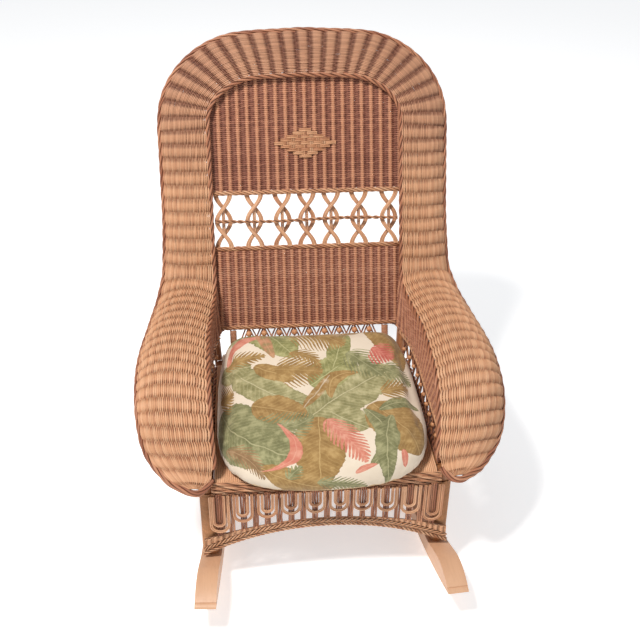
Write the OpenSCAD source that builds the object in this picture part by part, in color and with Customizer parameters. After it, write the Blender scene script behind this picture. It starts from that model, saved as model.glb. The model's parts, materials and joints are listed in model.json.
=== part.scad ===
// Wicker rocking chair: a low-slung rocker with one continuous rolled band that
// forms both arms and the arched back. Millimetres, +Z up, the floor is z = 0,
// the sitter faces -Y, and x = 0 is the plane of symmetry.

/* [Seat] */
// Height of the woven seat deck above the floor
seat_h = 275; // [268:1:280]
// Thickness of the woven seat deck
deck_t = 10; // [8:1:11]
// Thickness of the loose seat cushion at its edge
cushion_t = 62; // [50:1:64]

/* [Arms] */
// Half width between the inner edges of the arms
arm_in = 241; // [238:1:246]
// Height of the inner edge of the arms
arm_h = 447; // [437:1:457]
// Height of the outer edge of the arms, at its lowest
arm_out_h = 406; // [398:1:412]
// Half width to the outer edge of the arms
arm_out = 392; // [384:1:400]

/* [Back] */
// Angle that the back leans from upright
recline = 20.7; // [18:0.1:23]
// Half width inside the back band
back_in = 226; // [222:1:230]
// Half width to the outer edge of the back band
back_out = 337; // [330:1:345]
// Height of the inner arch, measured up the back from the bottom of the lower panel
arch_in = 604; // [590:1:615]
// Height of the outer arch, measured up the back in the same way
arch_out = 703; // [690:1:715]

/* [Rockers] */
// Radius of the rocker underside
rocker_r = 1200; // [1000:10:1500]
// Width of a rocker board
rocker_w = 44; // [38:1:48]
// Depth of a rocker board
rocker_t = 35; // [28:1:38]
// Length of the worn flat land where a rocker meets the floor
land = 80; // [60:1:100]
// Front tip of the rockers, ahead of the origin
rocker_front = 448; // [430:1:460]
// Rear tip of the rockers, behind the origin
rocker_rear = 448; // [400:1:460]
// Splay of each rocker, in degrees
splay = 4.1; // [3:0.1:5]

/* [Weave] */
// Radius of the inner border braid
braid_in_r = 7; // [6:0.5:8]
// Radius of the outer border braid
braid_out_r = 9; // [7:0.5:10]
// Thickness of the woven skin
skin = 6; // [4:0.5:7]
// Height of the convex roll over the arms
roll_arm = 42; // [34:1:46]
// Height of the convex roll on the back
roll_back = 22; // [16:1:26]

/* [Hidden] */

back_y = 171;             // foot of the back plane
back_z = 340;
leg_x = 249;              // front leg centre
leg_y = -272;
rear_y = 150;             // rear leg centre
leg_r = 15;
wrap_r = 19;
roll_y0 = -20;            // where the rockers touch the floor
rear_x = leg_x + tan(splay) * (leg_y - rear_y);
reed = "burlywood";
reed_dark = "peru";
wood = "tan";

// ---------------------------------------------------------------- curves
function cr1(a, b, c, d, t) = 0.5 * (2*b + (c-a)*t + (2*a-5*b+4*c-d)*t*t + (3*b-3*c+d-a)*t*t*t);
function crv(P, u) = let(n = len(P)-1, i = min(n-1, max(0, floor(u))), t = u-i)
  cr1(P[max(0,i-1)], P[i], P[i+1], P[min(n,i+2)], t);
function unit(v) = v / norm(v);
function lerp(a, b, t) = a + (b - a)*t;
function mx(p) = [-p[0], p[1], p[2]];
// a point x across, L up the back and f in front of the back plane
function bp(x, L, f) = [x, back_y + sin(recline)*L - cos(recline)*f, back_z + cos(recline)*L + sin(recline)*f];

back_L = [185, 235, 290, 350, 410, 460];
corner = [0, 15, 30, 45, 60, 75, 90];
f_in = 15;    // inner edge stands proud of the back panel
f_out = -25;  // outer edge is rolled behind it
in_cx = 91;  in_cl = arch_in - 100;
out_cx = 115; out_cl = arch_out - 205;

// right half of the inner edge, from the front tip over the arm and up to the crown
half_in = concat(
  [[263, -317, seat_h+4], [247, -304, seat_h+6], [236, -290, seat_h+20], [233, -275, seat_h+47],
   [235, -261, arm_h-95], [236, -246, arm_h-67], [237, -226, arm_h-40], [238, -198, arm_h-19],
   [arm_in-2, -162, arm_h-6], [arm_in-1, -115, arm_h-1], [arm_in, -60, arm_h], [arm_in, 0, arm_h],
   [arm_in-4, 60, arm_h-1], [arm_in-9, 115, arm_h-2], [228, 158, arm_h], [back_in, 186, arm_h+10],
   bp(back_in, 146, f_in)],
  [for (L = back_L) bp(back_in, L, f_in)],
  [for (a = corner) bp(in_cx + (back_in-in_cx)*cos(a), in_cl + (arch_in-in_cl)*sin(a), f_in)],
  [for (k = [2, 1, 0]) bp(in_cx*k/3, arch_in + (1-k/3)*3, f_in)]);
// right half of the outer edge, with the same stations
half_out = concat(
  [[285, -317, seat_h+4], [318, -297, seat_h+6], [347, -268, seat_h+20], [367, -243, seat_h+35],
   [379, -220, arm_out_h-74], [385, -197, arm_out_h-50], [389, -170, arm_out_h-29], [arm_out-1, -140, arm_out_h-15],
   [arm_out, -108, arm_out_h-6], [arm_out, -70, arm_out_h], [arm_out-2, -30, arm_out_h+5], [384, 18, arm_out_h+10],
   [376, 66, arm_out_h+15], [368, 118, arm_out_h+20], [359, 170, arm_out_h+27], [352, 213, arm_out_h+41],
   bp(345, 146, f_out)],
  [for (i = [0:5]) bp(back_out + (i < 2 ? 5-3*i : 0), back_L[i], f_out)],
  [for (a = corner) bp(out_cx + (back_out-out_cx)*cos(a), out_cl + (arch_out-out_cl)*sin(a), f_out)],
  [for (k = [2, 1, 0]) bp(out_cx*k/3, arch_out + (1-k/3)*5, f_out)]);
half_h = concat([for (k = [5, 12, 18, 24, 29, 33, 37, 40, 42, 42, 42, 42, 40, 38, 35, 31, 27]) k*roll_arm/42],
  [25, 24, 23, 22, 22, 22] * roll_back/22, [for (k = [1:10]) roll_back]);
M = len(half_in) - 1;                     // crown station
edge_in = concat(half_in, [for (i = [M-1:-1:0]) mx(half_in[i])]);
edge_out = concat(half_out, [for (i = [M-1:-1:0]) mx(half_out[i])]);
rise = concat(half_h, [for (i = [M-1:-1:0]) half_h[i]]);

function Cu(u) = unit(crv(edge_out, u) - crv(edge_in, u));
function Mu(u) = (crv(edge_out, u) + crv(edge_in, u)) / 2;
function Tu(u) = unit(Mu(min(2*M, u+0.1)) - Mu(max(0, u-0.1)));
function Nu(u) = unit(cross(Cu(u), Tu(u)));
function bulge(t) = pow(max(0, 4*t*(1-t)), 0.75);
// a point of the band: u along it, t across it from the inner to the outer edge, d deep
function band(u, t, d) = crv(edge_in, u) * (1-t) + crv(edge_out, u) * t
  + Nu(u) * (crv(rise, u) * bulge(t) - d);

// closed solid from two matching grids of points, front and back
module slab(A, B) {
  n = len(A); m = len(A[0]);
  ring = function(i) concat([for (j = [0:m-1]) A[i][j]], [for (j = [m-1:-1:0]) B[i][j]]);
  k = 2*m;
  pts = [for (i = [0:n-1]) each ring(i)];
  side = [for (i = [0:n-2], j = [0:k-1]) each [[i*k+j, (i+1)*k+j, (i+1)*k+(j+1)%k], [i*k+j, (i+1)*k+(j+1)%k, i*k+(j+1)%k]]];
  capa = [for (j = [0:m-2]) each [[j, j+1, k-2-j], [j, k-2-j, k-1-j]]];
  o = (n-1)*k;
  capb = [for (j = [0:m-2]) each [[o+j, o+k-2-j, o+j+1], [o+j, o+k-1-j, o+k-2-j]]];
  polyhedron(pts, concat(side, capa, capb), convexity = 6);
}

// round rope along a list of points, with a reference vector for each point
module rope(P, V, r, k = 8) {
  n = len(P);
  pts = [for (i = [0:n-1]) let(T = unit(P[min(n-1,i+1)] - P[max(0,i-1)]), b = unit(cross(T, V[i])), c = cross(b, T))
    each [for (j = [0:k-1]) P[i] + r*(cos(360*j/k)*b + sin(360*j/k)*c)]];
  side = [for (i = [0:n-2], j = [0:k-1]) each [[i*k+j, i*k+(j+1)%k, (i+1)*k+(j+1)%k], [i*k+j, (i+1)*k+(j+1)%k, (i+1)*k+j]]];
  caps = [[for (j = [k-1:-1:0]) j], [for (j = [0:k-1]) (n-1)*k+j]];
  polyhedron(pts, concat(side, caps), convexity = 6);
}

// straight round rod between two points
module rod(a, b, r, fn = 24) {
  v = b - a; L = norm(v);
  translate(a) rotate([0, acos(v[2]/L), atan2(v[1], v[0])]) cylinder(h = L, r = r, $fn = fn);
}
// frame of the back: x across, -y in front, z up the back
module on_back() { translate([0, back_y, back_z]) rotate([-recline, 0, 0]) children(); }

// ---------------------------------------------------------------- rockers and legs
function top_z(y) = rocker_r - land*land/8/rocker_r - sqrt(pow(rocker_r - rocker_t, 2) - pow(y - roll_y0, 2));
// the swelled ends: centre and radius of each nose, and where the swelling starts
nose = [[-rocker_front + 61, -12, 110, leg_y - 16], [rocker_rear - 67, 0, 110, 270]];
// the upright end faces of a rocker and the rounding of their upper edges
nose_end = [-rocker_front - 3, rocker_rear];
nose_round = 14;
// the point where a straight ramp from (a, b) touches the nose n, on the side given by s
function touch(n, a, b, s) = let(dx = a - n[0], dz = b - n[1], w = atan2(dz, dx) + s*acos(n[2]/norm([dx, dz])))
  [n[0] + n[2]*cos(w), n[1] + n[2]*sin(w)];
// everything behind the end face at e of the nose n, for the end given by s
module behind_end(n, e, s) {
  c = e - s*nose_round;
  h = n[1] + sqrt(pow(n[2] - nose_round, 2) - pow(c - n[0], 2));
  translate([s > 0 ? c - 1400 : c, -200]) square([1400, 600]);
  translate([c, h]) circle(r = nose_round, $fn = 72);
  translate([min(c, e), -200]) square([nose_round, 200 + h]);
}
// side outline of a rocker, x forward-to-back and y up
module rocker_profile() {
  cz = rocker_r - land*land/8/rocker_r;
  difference() {
    intersection() {
      translate([roll_y0, cz]) circle(r = rocker_r, $fn = 720);
      union() { behind_end(nose[0], nose_end[0], -1); }
      union() { behind_end(nose[1], nose_end[1], 1); }
      union() {
        difference() {
          translate([nose[0][0], -100]) square([nose[1][0] - nose[0][0], 400]);
          translate([roll_y0, cz]) circle(r = rocker_r - rocker_t, $fn = 720);
        }
        for (i = [0, 1]) let(n = nose[i], t = touch(n, n[3], top_z(n[3]), i == 0 ? 1 : -1)) {
          translate([n[0], n[1]]) circle(r = n[2], $fn = 180);
          polygon([[n[3], top_z(n[3])], t, [t[0], 0], [n[3], 0]]);
        }
      }
    }
    translate([-2000, -160]) square([4000, 160]);
  }
}
module rocker_board() {
  translate([leg_x, leg_y, 0]) rotate([0, 0, splay]) translate([0, -leg_y, 0])
    rotate([90, 0, 90]) translate([0, 0, -rocker_w/2]) linear_extrude(height = rocker_w) rocker_profile();
}
module rocker_raw() {
  difference() {
    rocker_board();
    // counterbored screw holes
    for (p = [[leg_x, leg_y], [rear_x, rear_y]]) translate([p[0], p[1], -10]) {
      cylinder(h = 200, r = 2.8, $fn = 24);
      cylinder(h = bottom_z(p[1]) + 10 + 10, r = 6, $fn = 32);
    }
  }
}
function bottom_z(y) = rocker_r - land*land/8/rocker_r - sqrt(pow(rocker_r, 2) - pow(y - roll_y0, 2));
module left_rocker() { color(wood) mirror([1, 0, 0]) rocker_raw(); }
module right_rocker() { color(wood) rocker_raw(); }
module rocker_screws() {
  color("silver") for (s = [-1, 1], p = [[leg_x, leg_y], [rear_x, rear_y]]) translate([s*p[0], p[1], bottom_z(p[1]) + 5.2]) {
    cylinder(h = 4.5, r = 5, $fn = 32);
    cylinder(h = 60, r = 2.4, $fn = 24);
  }
}

module leg_raw(x, y, h) {
  difference() {
    translate([x, y, 40]) cylinder(h = h - 40, r = leg_r, $fn = 48);
    rocker_cut();
    translate([x, y, 0]) cylinder(h = bottom_z(y) + 72, r = 2.8, $fn = 24);
  }
}
module rocker_cut() {
  translate([leg_x, leg_y, 0]) rotate([0, 0, splay]) translate([-60, -leg_y, 0])
    rotate([90, 0, 90]) linear_extrude(height = 120) difference() {
      translate([-600, -10]) square([1200, 200]);
      translate([roll_y0, rocker_r - land*land/8/rocker_r]) circle(r = rocker_r - rocker_t - 0.2, $fn = 360);
    }
}
rail_top = seat_h - deck_t - 0.5;
module left_front_leg() { color(wood) mirror([1, 0, 0]) leg_raw(leg_x, leg_y, rail_top); }
module right_front_leg() { color(wood) leg_raw(leg_x, leg_y, rail_top); }
module left_rear_leg() { color(wood) mirror([1, 0, 0]) leg_raw(rear_x, rear_y, rail_top); }
module right_rear_leg() { color(wood) leg_raw(rear_x, rear_y, rail_top); }
// fine reed wound round a leg
module wrap_raw(x, y, z0, z1) {
  translate([x, y, z0]) difference() {
    cylinder(h = z1 - z0, r = wrap_r, $fn = 48);
    translate([0, 0, -1]) cylinder(h = z1 - z0 + 2, r = leg_r + 0.3, $fn = 48);
  }
}
wrap_top = seat_h - 52;
module left_front_leg_wrap() { color(reed) mirror([1, 0, 0]) wrap_raw(leg_x, leg_y, 76, wrap_top); }
module right_front_leg_wrap() { color(reed) wrap_raw(leg_x, leg_y, 76, wrap_top); }
module left_rear_leg_wrap() { color(reed) mirror([1, 0, 0]) wrap_raw(rear_x, rear_y, 60, wrap_top); }
module right_rear_leg_wrap() { color(reed) wrap_raw(rear_x, rear_y, 60, wrap_top); }
// turned stretcher between a front and a rear leg
module stretcher_raw() { rod([leg_x - 0.8, leg_y + wrap_r + 1, 118], [rear_x + 1.4, rear_y - wrap_r - 1, 118], 9); }
module left_side_stretcher() { color(wood) mirror([1, 0, 0]) stretcher_raw(); }
module right_side_stretcher() { color(wood) stretcher_raw(); }

// ---------------------------------------------------------------- seat
module seat_front_rail() { color(wood) translate([-leg_x+wrap_r-3.5, leg_y-11, rail_top-38]) cube([2*(leg_x-wrap_r+3.5), 22, 38]); }
module seat_rear_rail() { color(wood) translate([-rear_x+leg_r+0.5, rear_y-11, rail_top-38]) cube([2*(rear_x-leg_r-0.5), 22, 38]); }
module side_rail_raw() {
  a = atan2(leg_x-rear_x, rear_y-leg_y); L = norm([leg_x-rear_x, rear_y-leg_y]);
  translate([leg_x, leg_y, rail_top-38]) rotate([0, 0, a]) translate([-11, leg_r+0.8, 0]) cube([22, L-2*leg_r-1.6, 38]);
}
module left_seat_rail() { color(wood) mirror([1, 0, 0]) side_rail_raw(); }
module right_seat_rail() { color(wood) side_rail_raw(); }
deck_rear = back_y - tan(recline)*(back_z - seat_h) - 12;
module seat_deck() {
  color(reed) translate([0, 0, seat_h - deck_t]) linear_extrude(height = deck_t)
    polygon([[-234, -282], [234, -282], [232, -60], [226, deck_rear], [-226, deck_rear], [-232, -60]]);
}
// two stacked twisted rows along the front edge of the seat
module seat_front_braid() {
  color(reed_dark) for (z = [0, 1, 2]) translate([-241, -290 - (z == 2 ? 2 : 4), seat_h - 4.2 - 9*z]) rotate([0, 90, 0]) cylinder(h = 482, r = 4.8, $fn = 32);
}
module side_braid_raw() { rod([243, -255, seat_h-4], [233.5, deck_rear-14, seat_h-4], 5); }
module left_seat_braid() { color(reed_dark) mirror([1, 0, 0]) side_braid_raw(); }
module right_seat_braid() { color(reed_dark) side_braid_raw(); }

// ---------------------------------------------------------------- frame above the seat
module back_post_raw() {
  rod([rear_x + 8, rear_y + 12, rail_top + 4], bp(262, 420, -37), 11, 32);
}
module left_back_post() { color(wood) mirror([1, 0, 0]) back_post_raw(); }
module right_back_post() { color(wood) back_post_raw(); }
module arm_post_raw() {
  translate([leg_x+14, leg_y+52, rail_top + 0.5]) cylinder(h = arm_h - 97 - rail_top, r = 10, $fn = 32);
}
module left_arm_post() { color(wood) mirror([1, 0, 0]) arm_post_raw(); }
module right_arm_post() { color(wood) arm_post_raw(); }
function stations(a, b, n) = [for (i = [0:n]) a + (b-a)*i/n];
hoop_u = stations(4.6, 2*M-4.6, 112);
module inner_hoop() {
  color(wood) rope([for (u = hoop_u) crv(edge_in, u) + 23*Cu(u) - 12*Nu(u)], [for (u = hoop_u) Nu(u)], 7, 8);
}
hoop_o = stations(3, 2*M-3, 116);
module outer_hoop() {
  color(wood) rope([for (u = hoop_o) crv(edge_out, u) - 19*Cu(u) - 8*Nu(u)], [for (u = hoop_o) Nu(u)], 5, 6);
}

// ---------------------------------------------------------------- rolled band
band_u = stations(1.0, 2*M-1.0, 132);
// how far the weave stays clear of the outer braid: more towards the tips, where the braid cuts across
// margins that leave room for the borders, wider where the two borders meet at the front of the arms
function band_start(u) = braid_in_r + 2 + 9*max(0, 2.4 - min(u, 2*M-u));
function band_gap(u) = let(e = min(u, 2*M-u)) braid_out_r + 1.9 + 3.6*max(0, 4.6 - e);
module rolled_band() {
  color(reed) slab(
    [for (u = band_u) let(W = norm(crv(edge_out,u)-crv(edge_in,u)), a = band_start(u)/W, b = 1-band_gap(u)/W)
      [for (j = [0:6]) band(u, a + (b-a)*j/6, 0)]],
    [for (u = band_u) let(W = norm(crv(edge_out,u)-crv(edge_in,u)), a = band_start(u)/W, b = 1-band_gap(u)/W)
      [for (j = [0:6]) band(u, a + (b-a)*j/6, skin)]]);
}
inb_u = stations(2.45, 2*M-2.45, 120);
module inner_border_braid() {
  color(reed_dark) rope([for (u = inb_u) crv(edge_in, u)], [for (u = inb_u) Nu(u)], braid_in_r, 8);
}
outb_u = stations(0.1, 2*M-0.1, 128);
tip_a = [[240, -293, seat_h+13], [246, -303.5, seat_h+6], [256, -313, seat_h+0.5], [270, -320, seat_h-3], [284, -317.5, seat_h+1]];
module outer_border_braid() {
  P = concat(tip_a, [for (u = outb_u) if (u > 0.3 && u < 2*M-0.3) crv(edge_out, u)], [for (i = [4:-1:0]) mx(tip_a[i])]);
  V = concat([for (i = [0:4]) Nu(0.5)], [for (u = outb_u) if (u > 0.3 && u < 2*M-0.3) Nu(u)], [for (i = [0:4]) Nu(2*M-0.5)]);
  color(reed_dark) rope(P, V, braid_out_r, 8);
}

// ---------------------------------------------------------------- back panels
panel_t = 6;
module back_upper_panel() {
  g = 6;
  color(reed_dark) on_back() rotate([90, 0, 0]) linear_extrude(height = panel_t, center = true)
    polygon(concat([[back_in+g, 345]],
      [for (a = [0:10:90]) [in_cx + (back_in+g-in_cx)*cos(a), in_cl + (arch_in+g-in_cl)*sin(a)]],
      [for (a = [90:-10:0]) [-in_cx - (back_in+g-in_cx)*cos(a), in_cl + (arch_in+g-in_cl)*sin(a)]],
      [[-back_in-g, 345]]));
}
module diamond_motif() {
  rows = 4; rh = 7.6; rw = 29;
  color(reed) on_back() translate([0, -panel_t/2 - 1.8, 451]) for (i = [-rows:rows])
    translate([0, 0, i*rh]) cube([rw*(rows + 1 - abs(i)), 2.6, rh + 0.01], center = true);
}
module back_rope(L, w, r, f = 0) { on_back() translate([-w, -f, L]) rotate([0, 90, 0]) cylinder(h = 2*w, r = r, $fn = 32); }
module upper_panel_braid() { color(reed) back_rope(338, back_in + 4, 6.5, 0); }
lat_x = [-198, -125, -58.5, 0, 58.5, 125, 198];
// two reeds that cross near the bottom and again near the top, with a straight reed between them
module lattice_reeds() {
  color(reed) on_back() for (x = lat_x) translate([x, 0, 0]) {
    for (s = [-1, 1]) rope([for (k = [0:10]) [s*(k == 0 || k == 10 ? 15 : 17*cos(36*k)), s*6.4, 214 + 11.6*k]], [for (k = [0:10]) [0, 1, 0]], 4.2, 6);
    translate([0, 0, 238]) cylinder(h = 68, r = 2, $fn = 24);
  }
}
module lattice_twist() { color(reed) back_rope(272, back_in - 8, 4, 15); }
module lower_panel_top_braid() { color(reed) back_rope(206, 228, 6.5, 0); }
module back_lower_panel() {
  color(reed_dark) on_back() rotate([90, 0, 0]) linear_extrude(height = panel_t, center = true)
    polygon([[-214, 20], [214, 20], [230, 199], [-230, 199]]);
}
module lower_panel_bottom_braid() { color(reed) back_rope(13, 213, 6.5, 0); }
gal_p = 37;
// a stake through each bead, doubled reeds that cross between the beads, and a wrapped post at each end
module back_gallery_reeds() {
  color(reed) on_back() translate([0, 0, -62]) {
    for (i = [-4:4]) translate([i*gal_p, 0, 0]) cylinder(h = 68, r = 2, $fn = 24);
    for (i = [-4:3], s = [0, 1], d = [-3.5, 3.5]) translate([(i+0.5)*gal_p + d, 9 + 4.6*s, 0])
      rod([s == 0 ? -14 : 14, 0, 1], [s == 0 ? 14 : -14, 0, 67], 2);
    for (s = [-1, 1], d = [-3.5, 3.5]) rod([s*180.5 + d, 11.5, 1], [s*152.5 + d, 11.5, 67], 2);
    for (s = [-1, 1]) translate([s*186, 0, 0]) cylinder(h = 68, r = 8.5, $fn = 32);
  }
}
module bead(r) { difference() { sphere(r = r, $fn = 32); translate([0, 0, -10]) cylinder(h = 20, r = 2.3, $fn = 24); } }
module back_gallery_beads() { color("tan") on_back() for (i = [-4:4]) translate([i*gal_p, 0, -4]) bead(7.2); }

// ---------------------------------------------------------------- inner arm panels
arm_u = stations(4, 15.6, 44);
gal_z0 = seat_h + 3; gal_z1 = seat_h + 56;
// half width at the foot of the arm panels: rounded in towards the back
function rim_x(y) = 244 - 3.5*max(0, y)/60 - 16*pow(max(0, y - 60)/104, 2);
module arm_panel_raw() {
  top = function(u) crv(edge_in, u) + [3, 0, 0] + (u < 8 ? [0, 9, -5] : [0, 0, -10.5]);
  low = function(u) let(y = lerp(-252, 164, (u - 4)/11.6)) [rim_x(y) - 3, y, gal_z1 + 13];
  A = [for (u = arm_u) [for (j = [0:3]) top(u)*(1-j/3) + low(u)*j/3]];
  B = [for (r = A) [for (p = r) p + [panel_t, 0, 0]]];
  slab(B, A);
}
module left_arm_panel() { color(reed_dark) mirror([1, 0, 0]) arm_panel_raw(); }
module right_arm_panel() { color(reed_dark) arm_panel_raw(); }
module arm_braid_raw() { rope([for (k = [0:16]) let(y = lerp(-256, 156, k/16)) [rim_x(y), y, gal_z1+5.5]], [for (k = [0:16]) [0, 0, 1]], 6, 12); }
module left_arm_panel_braid() { color(reed) mirror([1, 0, 0]) arm_braid_raw(); }
module right_arm_panel_braid() { color(reed) arm_braid_raw(); }
function gal_y(i) = -243 + i*gal_p;
module arm_gallery_reeds() {
  color(reed) for (s = [-1, 1], i = [0:10]) let(y = gal_y(i)) translate([s*rim_x(y), y, gal_z0]) cylinder(h = gal_z1 - gal_z0 - 2, r = 2, $fn = 24);
}
module arm_gallery_beads() { color("sienna") for (s = [-1, 1], i = [0:10]) let(y = gal_y(i)) translate([s*rim_x(y), y, gal_z0 + 24]) bead(5.5); }

// ---------------------------------------------------------------- aprons
ap_y = -297;
loop_p = 50.4;
function loop_z(x) = 211 - 0.00055*x*x - (abs(x) > 200 ? 15 : 0);     // centre of the bottom bend of the outer loops
function strip_z(x) = sqrt(746.5*746.5 - x*x) - 578.5;               // upper edge of the arched strip
ap_top = seat_h - 29;
// one hanging loop of doubled reed
module loop_raw(z0, z1, w, r) {
  for (s = [-1, 1]) translate([s*w, 0, z0]) cylinder(h = z1 - z0, r = r, $fn = 24);
  translate([0, 0, z0]) rotate([-90, 0, 0]) rotate_extrude(angle = 180, $fn = 48) translate([w, 0]) circle(r = r, $fn = 24);
}
// two loops in each bay, one inside the other, hanging in front of the upright reeds
module front_apron_loops() {
  color(reed) for (i = [0:9]) let(x = (i - 4.5)*loop_p) translate([x, ap_y - 5.8, 0]) {
    loop_raw(loop_z(x), ap_top, 18.5, 3);
    loop_raw(loop_z(x) + 7.8, ap_top, 10.5, 2.8);
  }
}
module front_apron_stakes() {
  color(reed_dark) for (i = [0:18]) let(x = (i - 9)*loop_p/2) for (s = [-1, 0, 1]) let(b = strip_z(max(0, abs(x + s*4.9) - 2.2)) + 0.8)
    translate([x + s*4.9, ap_y, b]) cylinder(h = ap_top - b, r = 2.2, $fn = 24);
}
module arch_band(w, r, rise, th, h) {
  // an arched strip between x = -w and x = w
  rotate([90, 0, 0]) linear_extrude(height = th, center = true) intersection() {
    translate([-w, -rise-40]) square([2*w, rise + 80]);
    difference() { translate([0, -r]) circle(r = r + h, $fn = 360); translate([0, -r]) circle(r = r, $fn = 360); }
  }
}
// arched braid with the woven strip above it, which widens towards the legs
module front_apron_braid() {
  color(reed_dark) translate([0, ap_y, 0]) rotate([90, 0, 0]) linear_extrude(height = 10, center = true) intersection() {
    translate([-266, 40]) square([532, 200]);
    difference() { translate([0, -578.5]) circle(r = 746.5, $fn = 720); translate([0, -400]) circle(r = 544, $fn = 720); }
  }
}
// reeds and bottom braid of a side or rear apron, drawn along +X from 0 to L
module plain_apron(L, n) {
  p = L/n; c = L/2;
  function az(x) = sqrt(1000*1000 - (x-c)*(x-c)) - 1000;
  for (i = [0:n-1]) let(x = (i+0.5)*p) translate([x, 0, 0]) loop_raw(178 + az(x), ap_top, 13, 3.2);
  for (i = [1:n-1]) translate([i*p, 0, 133 + az(i*p)]) cylinder(h = ap_top - 133 - az(i*p), r = 3.2, $fn = 24);
  translate([c, 0, 112]) arch_band(c, 1000, 30, 9, 20);
}
module side_apron_raw() {
  a = atan2(leg_x-rear_x, rear_y-leg_y); L = norm([leg_x-rear_x, rear_y-leg_y]);
  translate([leg_x, leg_y, 0]) rotate([0, 0, 90 + a]) translate([wrap_r+1, -16.5, 0]) plain_apron(L - 2*wrap_r - 2, 8);
}
module left_apron() { color(reed) mirror([1, 0, 0]) side_apron_raw(); }
module right_apron() { color(reed) side_apron_raw(); }
module rear_apron() { color(reed) translate([-rear_x + wrap_r + 1, rear_y + 16, 0]) plain_apron(2*(rear_x - wrap_r - 1), 8); }

// ---------------------------------------------------------------- loose seat cushion
// plan outline of the cushion: straight back, sides that widen, strongly rounded front
plan = [[0, 138], [90, 138], [150, 137], [186, 128], [207, 104], [219, 60], [227, 0], [230, -70], [231, -140],
  [229, -200], [218, -250], [196, -290], [160, -320], [112, -338], [56, -346], [0, -348]];
ring = concat(plan, [for (i = [14:-1:1]) mx2(plan[i])]);
function mx2(p) = [-p[0], p[1]];
pad_c = [0, -100];
pad_lift = 33;            // how much thicker the cushion is where it is pushed up against the back
board_t = 9;
z_board = seat_h + 3.5;
// one closed ring of the cushion: e is how far it is drawn in, z its height
function pad_ring(e, z) = [for (p = ring) let(v = p - pad_c, q = pad_c + v*(1 - e/norm(v)))
  [q[0], q[1], z + pad_lift*pow(sin(90*min(1, max(0, (q[1]+190)/300))), 2)*min(1, max(0, (z-seat_h-16)/cushion_t))]];
// the middle of the crown inside the ring r
function pad_mid(r) = let(z = [for (p = r) p[2]]) [pad_c[0], pad_c[1], min(z) + 0.3*(max(z) - min(z))];
module stack(rings) {
  k = len(rings[0]); n = len(rings);
  pts = concat([for (r = rings) each r], [pad_mid(rings[n-1])]);
  side = [for (i = [0:n-2], j = [0:k-1]) each [[i*k+j, (i+1)*k+(j+1)%k, i*k+(j+1)%k], [i*k+j, (i+1)*k+j, (i+1)*k+(j+1)%k]]];
  polyhedron(pts, concat(side, [[for (j = [0:k-1]) j]], [for (j = [0:k-1]) [(n-1)*k+(j+1)%k, (n-1)*k+j, n*k]]), convexity = 4);
}
pad_top = seat_h + cushion_t;
module cushion_board() { color("wheat") translate([0, 0, z_board]) linear_extrude(height = board_t) polygon([for (p = pad_ring(14, 0)) [p[0], p[1]]]); }
module cushion_foam() {
  color("ivory") stack([pad_ring(13, z_board+board_t+0.4), pad_ring(7, z_board+board_t+8), pad_ring(5, seat_h+32), pad_ring(8, pad_top-18), pad_ring(19, pad_top-5), pad_ring(42, pad_top+3), pad_ring(95, pad_top+9)]);
}
module cushion_cover() {
  // fabric skin over the foam, turned under the board
  outer = [pad_ring(13, seat_h+1.2), pad_ring(4, seat_h+6), pad_ring(1, seat_h+16), pad_ring(0, seat_h+30), pad_ring(4, pad_top-14), pad_ring(16, pad_top), pad_ring(40, pad_top+8.5), pad_ring(94, pad_top+14.5)];
  inner = [pad_ring(95, pad_top+11), pad_ring(42, pad_top+5), pad_ring(18, pad_top-3), pad_ring(6.5, pad_top-16), pad_ring(3.5, seat_h+31), pad_ring(4, seat_h+17), pad_ring(7.5, seat_h+8), pad_ring(13, seat_h+2.8)];
  k = len(ring); n = 8;
  pts = concat([for (r = outer) each r], [for (r = inner) each r], [pad_mid(outer[n-1]), pad_mid(inner[0])]);
  side = [for (i = [0:n-2], j = [0:k-1]) each [[i*k+j, (i+1)*k+(j+1)%k, i*k+(j+1)%k], [i*k+j, (i+1)*k+j, (i+1)*k+(j+1)%k]]];
  top = [for (j = [0:k-1]) [(n-1)*k+(j+1)%k, (n-1)*k+j, 2*n*k]];
  o = n*k;
  under = [for (j = [0:k-1]) [o+j, o+(j+1)%k, 2*n*k+1]];
  side2 = [for (i = [0:n-2], j = [0:k-1]) each [[o+i*k+j, o+(i+1)*k+(j+1)%k, o+i*k+(j+1)%k], [o+i*k+j, o+(i+1)*k+j, o+(i+1)*k+(j+1)%k]]];
  rim = [for (j = [0:k-1]) each [[o+(n-1)*k+j, (j+1)%k, o+(n-1)*k+(j+1)%k], [o+(n-1)*k+j, j, (j+1)%k]]];
  color("darkseagreen") polyhedron(pts, concat(side, top, side2, under, rim), convexity = 6);
}

left_rocker();
right_rocker();
rocker_screws();
left_front_leg();
right_front_leg();
left_rear_leg();
right_rear_leg();
left_front_leg_wrap();
right_front_leg_wrap();
left_rear_leg_wrap();
right_rear_leg_wrap();
left_side_stretcher();
right_side_stretcher();
seat_front_rail();
seat_rear_rail();
left_seat_rail();
right_seat_rail();
seat_deck();
seat_front_braid();
left_seat_braid();
right_seat_braid();
left_back_post();
right_back_post();
left_arm_post();
right_arm_post();
inner_hoop();
outer_hoop();
rolled_band();
inner_border_braid();
outer_border_braid();
back_upper_panel();
diamond_motif();
upper_panel_braid();
lattice_reeds();
lattice_twist();
lower_panel_top_braid();
back_lower_panel();
lower_panel_bottom_braid();
back_gallery_reeds();
back_gallery_beads();
left_arm_panel();
right_arm_panel();
left_arm_panel_braid();
right_arm_panel_braid();
arm_gallery_reeds();
arm_gallery_beads();
front_apron_stakes();
front_apron_loops();
front_apron_braid();
left_apron();
right_apron();
rear_apron();
cushion_board();
cushion_foam();
cushion_cover();
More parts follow.
